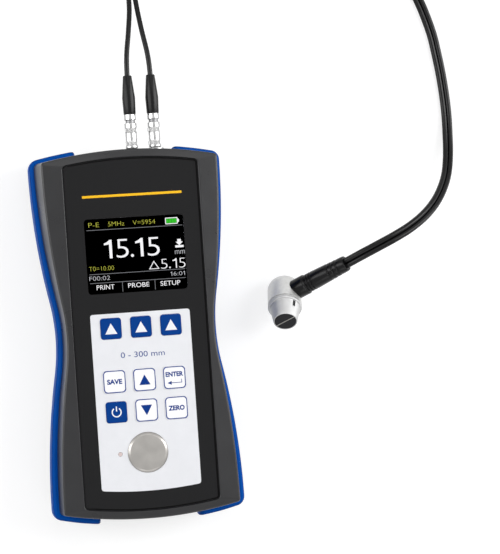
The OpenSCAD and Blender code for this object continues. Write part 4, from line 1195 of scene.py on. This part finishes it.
def digits(places, at, height, stroke, weight):
    """Numerals and points between given places, from a lower left corner."""
    x, y = at
    pieces = []
    for sign, left, right in places:
        width, centre = right - left, x + (left + right) / 2
        if sign == "1":
            stem = width - stroke
            outline = [
                (stem, 0), (width, 0), (width, height), (width - 0.7 * stroke, height),
                (0.5 * stem, 0.87 * height), (0, 0.82 * height), (0, 0.72 * height), (stem, 0.76 * height),
            ]
            pieces.append(plate(shifted(outline, (x + left, y)), SCREEN_Z))
        elif sign == ".":
            pieces.append(plate(disc(width, (centre, y + width / 2), 20), SCREEN_Z))
        else:
            pieces.append(lettering(sign, (centre, y + height / 2), width, height, SCREEN_Z, weight))
    return pieces


def make_screen():
    """The lit display under its pane, with a plain reading and generic menu words."""
    z = SCREEN_Z
    size = [side - 0.1 for side in WINDOW]
    face = prism("screen_face", rounded(*size, WINDOW_CORNER, (0, WINDOW_Y)), ROOF_Z - 0.2, z - 0.02)
    dress(face, "display_black")
    tip = shifted([(-2.65, -2.0), (2.65, -2.0), (0.0, 2.2)], (8.9, 33.4))
    white = digits(READING, (-15.7, 38.1), 9.2, 1.4, -0.012) + digits(OFFSET, (12.4, 31.3), 4.8, 0.55, -0.02)
    white += words(MENU_WORDS) + [
        bar(21.4, 44.2, 23.2, 45.6, z),
        triangle(3.6, 1.9, (22.3, 43.35), z, up=False),
        bar(20.2, 41.4, 24.4, 42.5, z),
        hoop(rounded(6.3, 3.3, 0.4, (19.1, 54.9)), rounded(5.5, 2.5, 0.15, (19.1, 54.9)), z),
        plate([(22.3, 53.9), (22.9, 54.3), (22.9, 55.5), (22.3, 55.9)], z),
        hoop(tip, between(tip, tip.mean(axis=0), 0.26), z),
    ]
    grey = [bar(-23.6, y - SCREEN_LINE, 24.4, y + SCREEN_LINE, z) for y in (52.5, 30.6, 26.2)]
    grey += [bar(x - SCREEN_LINE, 21.2, x + SCREEN_LINE, 26.0, z) for x in (-7.5, 8.8)]
    lit = {
        "white": white,
        "yellow": words(YELLOW_WORDS),
        "green": [bar(16.5 + 1.33 * i, 53.8, 17.71 + 1.33 * i, 56.0, z) for i in range(4)],
        "soft": digits(CLOCK, (16.9, 27.5), 2.0, 0.3, -0.014) + words(SOFT_WORDS),
        "grey": grey,
    }
    for tone, pieces in lit.items():
        dress(join("screen_" + tone, pieces), "display_black", finish="lit_" + tone)


RULE_Y = 69.0
RULE_T = 1.2
# Painted shade: a black line round the label where the recess wall is in shade, thin on the lit left side
SHADE_LINE_EDGE = 0.04
SHADE_LINE_T = 0.65
SHADE_LINE_FADE = 6.0
SHADE_LINE_THIN = 0.06
RANGE_PRINT = ("0 - 300 mm", (0, -10.2), 22.0, 2.8)


def make_front_print():
    """A yellow rule on the label, a black line round its edge as painted shade of the recess wall, thin
    towards the lit left side, wells and lips round the keys, and the measuring range.
    """
    rule = bar(-WINDOW[0] / 2, RULE_Y - RULE_T / 2, WINDOW[0] / 2, RULE_Y + RULE_T / 2, LABEL_Z)
    rule.name = "label_rule"
    dress(rule, "film_white", finish="ink_yellow")
    # The painted shade line along the recess edge, narrowed towards the left
    edge = RECESS_SLOPE + LABEL_GAP
    outer, inner = (ring_of(panel_half(edge + inset), 0)[:, :2] for inset in (SHADE_LINE_EDGE, SHADE_LINE_T))
    near = np.clip((outer[:, :1] + PANEL_HALF_WIDTH) / SHADE_LINE_FADE, 0, 1)
    shade_line = hoop(outer, between(outer, inner, between(SHADE_LINE_THIN, 1, near)), LABEL_Z)
    shade_line.name = "label_border"
    dress(shade_line, "label_black", finish="ink_black")
    wells, blue_lips = [], []
    for name in KEY_NAMES:
        side, at = key_side(name) + 2 * KEY_GAP, middle(name)
        hole = rounded(side, side, KEY_CORNER + KEY_GAP, at)
        wells.append(hoop(hole, disc(STEM_HOLE, at, len(hole)), PANEL_Z, KEY_WELL_T))
        lip = hoop(hole, key_outline(name, -KEY_LIP_GAP), PANEL_Z + KEY_WELL_T, KEY_LIP_T)
        (blue_lips if name in BLUE_KEYS else wells).append(lip)
    dress(join("key_wells", wells), "film_white")
    dress(join("key_lips", blue_lips), "key_blue")
    scope = lettering(*RANGE_PRINT, FILM_Z)
    scope.name = "range_print"
    dress(scope, "key_blue", finish="ink_blue")


def make_disc_and_lamp():
    r, low, (inset, drop) = DISC_D / 2, HEIGHT - DISC_T, DISC_CHAMFER
    profile = [(0, low), (r, low), (r, HEIGHT - drop), (r - inset, HEIGHT), (0, HEIGHT)]
    steel = lathe("zero_plate", profile, Matrix.Translation((*DISC_AT, 0)), 0.15, 96)
    dress(steel, "steel", "zero_disc", finish="disc_steel")
    r, flange = LAMP_D / 2, 0.8 * LAMP_D
    profile = [(0, LAMP_LOW), (flange, LAMP_LOW), (flange, ROOF_Z), (r, ROOF_Z), (r, FILM_Z - 0.15)]
    profile += [(r * 0.7, FILM_Z - 0.02), (0, FILM_Z)]
    lamp = lathe("lamp_lens", profile, Matrix.Translation((*LAMP_AT, 0)), 0.1, 40)
    dress(lamp, "lamp_clear", "status_lamp")


# Plugs
SOCKET_FLANGE_R = 4.3
SOCKET_SHANK_R = 3.4
SOCKET_BORE_R = 2.6
SOCKET_BORE_END = -7.6
SOCKET_HOLE_R = 1.3
SOCKET_LENGTH = 10.0
FLANGE_T = 0.9
SLEEVE_START = 1.3
SLEEVE_LENGTH = 12.7
SLEEVE_R = 3.15
SLEEVE_WAIST = 2.85
SLEEVE_BORE = 2.35
SLEEVE_STEP = 0.3
BAND = 2.0
BAND_LIP = 1.3
SLEEVE_COLLAR = 2.7
KNURLS = 34
KNURL = 0.26
NUT_START = 15.4
NUT_LENGTH = 3.0
NUT_R = 2.95
NUT_BORE = 2.34
BOOT_R = 3.3
BOOT_TIP_R = 2.1
BOOT_BORE = 1.32
PLUG_R = 2.5
PLUG_BORE = 1.9
PLUG_TIP = -7.3
BARREL_R = 2.3
BARREL_START = 1.1
WIRE_R = 0.8
WIRE_START = 1.5


def knurl_band(z, matrix):
    """One ring of ridges about a plug's axis, its middle at a height."""
    band = add_object("band", bpy.data.meshes.new("band"))
    sizes = {"Radius": (SLEEVE_R - KNURL * 0.75) * MM, "Ridge": KNURL * MM, "Length": (BAND - 0.2) * MM}
    run_tree(band, KNURL_TREE, Count=KNURLS, **sizes, Material=FINISHES["grip_nickel"])
    band.data.transform(in_metres(matrix @ Matrix.Translation((0, 0, z))))
    shade(band.data, 30)
    return band


def make_plug(index):
    """A plug in its socket: flange, barrel, release sleeve and boot."""
    place, number = on_socket(index), index + 1
    nickel, mover = f"plug_nickel_{number}", f"plug_sleeve_{number}"
    flange = [
        (SOCKET_HOLE_R, -SOCKET_LENGTH), (SOCKET_SHANK_R, -SOCKET_LENGTH), (SOCKET_SHANK_R, 0),
        (SOCKET_FLANGE_R, 0), (SOCKET_FLANGE_R, FLANGE_T), (SOCKET_BORE_R, FLANGE_T),
        (SOCKET_BORE_R, SOCKET_BORE_END), (SOCKET_HOLE_R, SOCKET_BORE_END),
    ]
    socket = lathe(f"socket_ring_{number}", flange, place, 0.25)
    dress(socket, "nickel", f"socket_{number}", finish=nickel)
    end = NUT_START + NUT_LENGTH - 0.4
    barrel = [
        (PLUG_BORE, PLUG_TIP), (PLUG_R, PLUG_TIP), (PLUG_R, BARREL_START), (BARREL_R, BARREL_START),
        (BARREL_R, end), (WIRE_R, end), (WIRE_R, WIRE_START), (PLUG_BORE, WIRE_START),
    ]
    # The barrel is dark metal as painted shade in the gap between sleeve and nut
    body = lathe(f"plug_barrel_{number}", barrel, place, 0.1)
    dress(body, "nickel", f"plug_body_{number}", finish="barrel_dark")
    low, ring, step = SLEEVE_R - 0.1, SLEEVE_R - KNURL * 0.7, SLEEVE_STEP
    start, stop = SLEEVE_START, SLEEVE_START + SLEEVE_LENGTH
    front, back = start + BAND_LIP, stop - SLEEVE_COLLAR - BAND
    profile = [
        (SLEEVE_BORE, start), (SLEEVE_WAIST, start), (low, start + step), (low, front - 0.1),
        (ring, front), (ring, front + BAND), (SLEEVE_WAIST, front + BAND + step), (SLEEVE_WAIST, back - step),
        (ring, back), (ring, back + BAND), (low, back + BAND + 0.1), (low, stop - step),
        (SLEEVE_WAIST, stop), (SLEEVE_BORE, stop),
    ]
    sleeve = lathe(f"release_sleeve_{number}", profile, place, 0.1)
    dress(sleeve, "nickel", f"plug_sleeve_{number}", body=mover, finish=nickel)
    bands = [knurl_band(z + BAND / 2, place) for z in (front, back)]
    dress(join(f"sleeve_grips_{number}", bands), "nickel", body=mover, finish="grip_nickel")
    first, tip = PLUG_BOOT_START, PLUG_BOOT_START + PLUG_BOOT_LENGTH
    boot = [
        (BOOT_BORE, first), (BOOT_R - 0.25, first), (BOOT_R, first + 0.42 * PLUG_BOOT_LENGTH),
        (BOOT_TIP_R + 0.12, tip - 0.5), (BOOT_TIP_R, tip), (BOOT_BORE, tip),
    ]
    dress(lathe(f"plug_cover_{number}", boot, place, 0.35), "boot_black", f"plug_boot_{number}")


def make_plug_nuts():
    stop = NUT_START + NUT_LENGTH
    profile = [(NUT_BORE, NUT_START), (NUT_R - 0.2, NUT_START), (NUT_R, NUT_START + 0.2)]
    profile += [(NUT_R, stop - 0.15), (NUT_R - 0.15, stop), (NUT_BORE, stop)]
    nuts = [lathe("nut", profile, on_socket(index), 0.1) for index in (0, 1)]
    dress(join("back_nuts", nuts), "nickel", "plug_nuts", finish="plug_nickel_1")


# Probe
NOSE_LENGTH = 10.9
NOSE_BORE = 5.55
TAPER_LENGTH = 9.0
TAPER_R = 7.7
RIM_R = 6.1
COLLAR_R = 5.2
COLLAR_LENGTH = 5.0
COLLAR_SKIRT = 2.2
NECK_R = 4.75
GROOVES = 3
GROOVE_START = 6.0
GROOVE_PITCH = 1.6
GROOVE_WIDTH = 0.9
GROOVE_EDGE = 0.2
GROOVE_DEPTH = 0.6
TAIL_GROOVE_PITCH = 2.7
TAIL_GROOVE_DEPTH = 0.4
TAIL_GROOVE_EDGE = 4.0
BOOT_END_R = 3.85
BOOT_END_EDGE = (0.2, 0.8)
SLOT_ANGLE = -15
SLOT = (1.6, 3.4, 1.1)
# Thickness of the dark plate that paints shade on the slot's floor
SLOT_SHADE_T = 0.5
JOINT = 0.5


def make_probe():
    """The head, and the nose ring with its spanner slot, and a dark plate on the slot's floor as painted
    shade.
    """
    r, back, bow = PROBE_RADIUS, PROBE_LENGTH - PROBE_ROUND, PROBE_ROUND
    joint = NOSE_LENGTH + JOINT
    profile = [(0, NOSE_LENGTH), (r - JOINT, NOSE_LENGTH), (r - JOINT, joint - 0.1), (r, joint)]
    profile += [(r - bow + bow * math.cos(a), back + bow * math.sin(a)) for a in quarter_turn(12)]
    profile.append((0, PROBE_LENGTH))
    dress(lathe("probe_head", profile, ON_PROBE, 0, 96), "alloy", "probe_body")
    nose = [
        (NOSE_BORE, 0), (RIM_R, 0), (TAPER_R, TAPER_LENGTH), (r - 0.3, TAPER_LENGTH), (r, TAPER_LENGTH + 0.3),
        (r, NOSE_LENGTH - 0.15), (r - JOINT, NOSE_LENGTH), (NOSE_BORE, NOSE_LENGTH),
    ]
    ring = lathe("probe_ring", nose, ON_PROBE, 0.25, 96)
    width, length, depth = SLOT
    start, floor = TAPER_LENGTH - length, TAPER_R - depth
    place = in_metres(ON_PROBE @ turned("Z", SLOT_ANGLE))
    outline = rounded(depth + OVER, width, 0.2, (floor + (depth + OVER) / 2, 0))
    tool = prism("slot", outline, start, TAPER_LENGTH)
    tool.data.transform(place)
    carve(ring, [tool])
    dress(ring, "nickel", "probe_nose", finish="probe_nickel")
    # A dark plate on the slot's floor: painted shade, not a part
    outline = rounded(SLOT_SHADE_T, width - 0.05, 0.1, (floor + SLOT_SHADE_T / 2, 0))
    key = prism("slot_key", outline, start + 0.02, TAPER_LENGTH - 0.02)
    key.data.transform(place)
    dress(key, "element_dark")


def make_probe_boot():
    """The boot: a collar that meets the head, and a sleeve with grooves near both ends."""
    end = PROBE_BOOT_LENGTH
    start = GROOVE_START + GROOVE_PITCH * (GROOVES - 1) + GROOVE_WIDTH
    edge, run = BOOT_END_EDGE
    stop = end - run

    def sleeve_r(z):
        return NECK_R + (BOOT_END_R + edge - NECK_R) * (z - start) / (stop - start)

    def groove(z, near, far, depth):
        low, on = near - depth, z + GROOVE_WIDTH
        return [(near, z), (low, z + GROOVE_EDGE), (low, on - GROOVE_EDGE), (far, on)]

    boot = [(0, -COLLAR_SKIRT), (COLLAR_R, -COLLAR_SKIRT)]
    boot += [(COLLAR_R, COLLAR_LENGTH), (NECK_R, COLLAR_LENGTH + 0.2)]
    for i in range(GROOVES):
        boot += groove(GROOVE_START + GROOVE_PITCH * i, NECK_R, NECK_R, GROOVE_DEPTH)
    for i in range(GROOVES):
        z = end - TAIL_GROOVE_EDGE - (GROOVES - 1 - i) * TAIL_GROOVE_PITCH - GROOVE_WIDTH
        boot += groove(z, sleeve_r(z), sleeve_r(z + GROOVE_WIDTH), TAIL_GROOVE_DEPTH)
    boot += [(BOOT_END_R + edge, stop), (BOOT_END_R, end), (0, end)]
    dress(lathe("probe_cover", boot, ON_OUTLET, 0.2, 72), "boot_black", "probe_boot")


make_lead()
front_case()
rear_case()
bumper("right_bumper", False, "bumper_right")
bumper("left_bumper", True, "bumper_left")
case_screws()
for key_name in KEY_NAMES:
    make_key(key_name)
make_screen()
make_front_print()
make_disc_and_lamp()
for plug in (0, 1):
    make_plug(plug)
make_plug_nuts()
make_probe()
make_probe_boot()
door = copied("battery_door", "door_cover", DOOR_EDGE)
dress(door, "shell_grey", "battery_door", body="battery_door")


# Stage
FLOOR_SIZE = 6.0
FLOOR_Z = -0.05
FLOOR_SHADE = 0.42
FLOOR_LIFT = 0.69
WORLD_LIGHT = 0.3
LIGHT_AIM = Vector((0.03, 0.01, 0.02))
SOFTBOXES = (
    ("left_box", (-1.0, 0.25, 0.62), (0.5, 1.4), 8.2),
    ("right_box", (1.05, 0.25, 0.7), (0.5, 1.3), 12.3),
    ("top_box", (0.15, 0.9, 1.25), (1.2, 0.8), 3.2),
    ("foot_box", (0.1, -0.95, 0.6), (1.0, 0.4), 2.0),
)


def seen_rays(tree):
    """Camera, glossy and transmission rays, which see the plain pale background."""
    rays = tree.nodes.new("ShaderNodeLightPath").outputs
    total = rays["Is Camera Ray"]
    for name in ("Is Glossy Ray", "Is Transmission Ray"):
        total = maths(tree, "MAXIMUM", total, rays[name])
    return total


def add_floor():
    half = FLOOR_SIZE / 2 / MM
    floor = build("floor", raised(oblong(-half, -half, half, half), FLOOR_Z), [[0, 1, 2, 3]])
    finish = Finish("floor", (FLOOR_SHADE,) * 3, 0.9, level=0.0)
    finish.set("Emission Color", (1, 1, 1, 1))
    finish.set("Emission Strength", maths(finish.tree, "MULTIPLY", seen_rays(finish.tree), FLOOR_LIFT))
    floor.data.materials.append(finish.material)


def add_world():
    world = bpy.data.worlds.new("studio")
    world.use_nodes = True
    tree = world.node_tree
    background = tree.nodes["Background"]
    feed(background.inputs["Color"], (1, 1, 1, 1))
    light = {"Value": seen_rays(tree), "To Min": WORLD_LIGHT, "To Max": 1.0}
    feed(background.inputs["Strength"], wire(tree, "ShaderNodeMapRange", light))
    bpy.context.scene.world = world


def add_softboxes():
    for name, at, size, power in SOFTBOXES:
        data = bpy.data.lights.new(name, "AREA")
        data.shape = "RECTANGLE"
        data.size, data.size_y = size
        data.energy = power
        lamp = add_object(name, data)
        lamp.location = at
        lamp.rotation_euler = (LIGHT_AIM - Vector(at)).to_track_quat("-Z", "Y").to_euler()


add_floor()
add_world()
add_softboxes()
bpy.context.scene.view_settings.view_transform = "Standard"
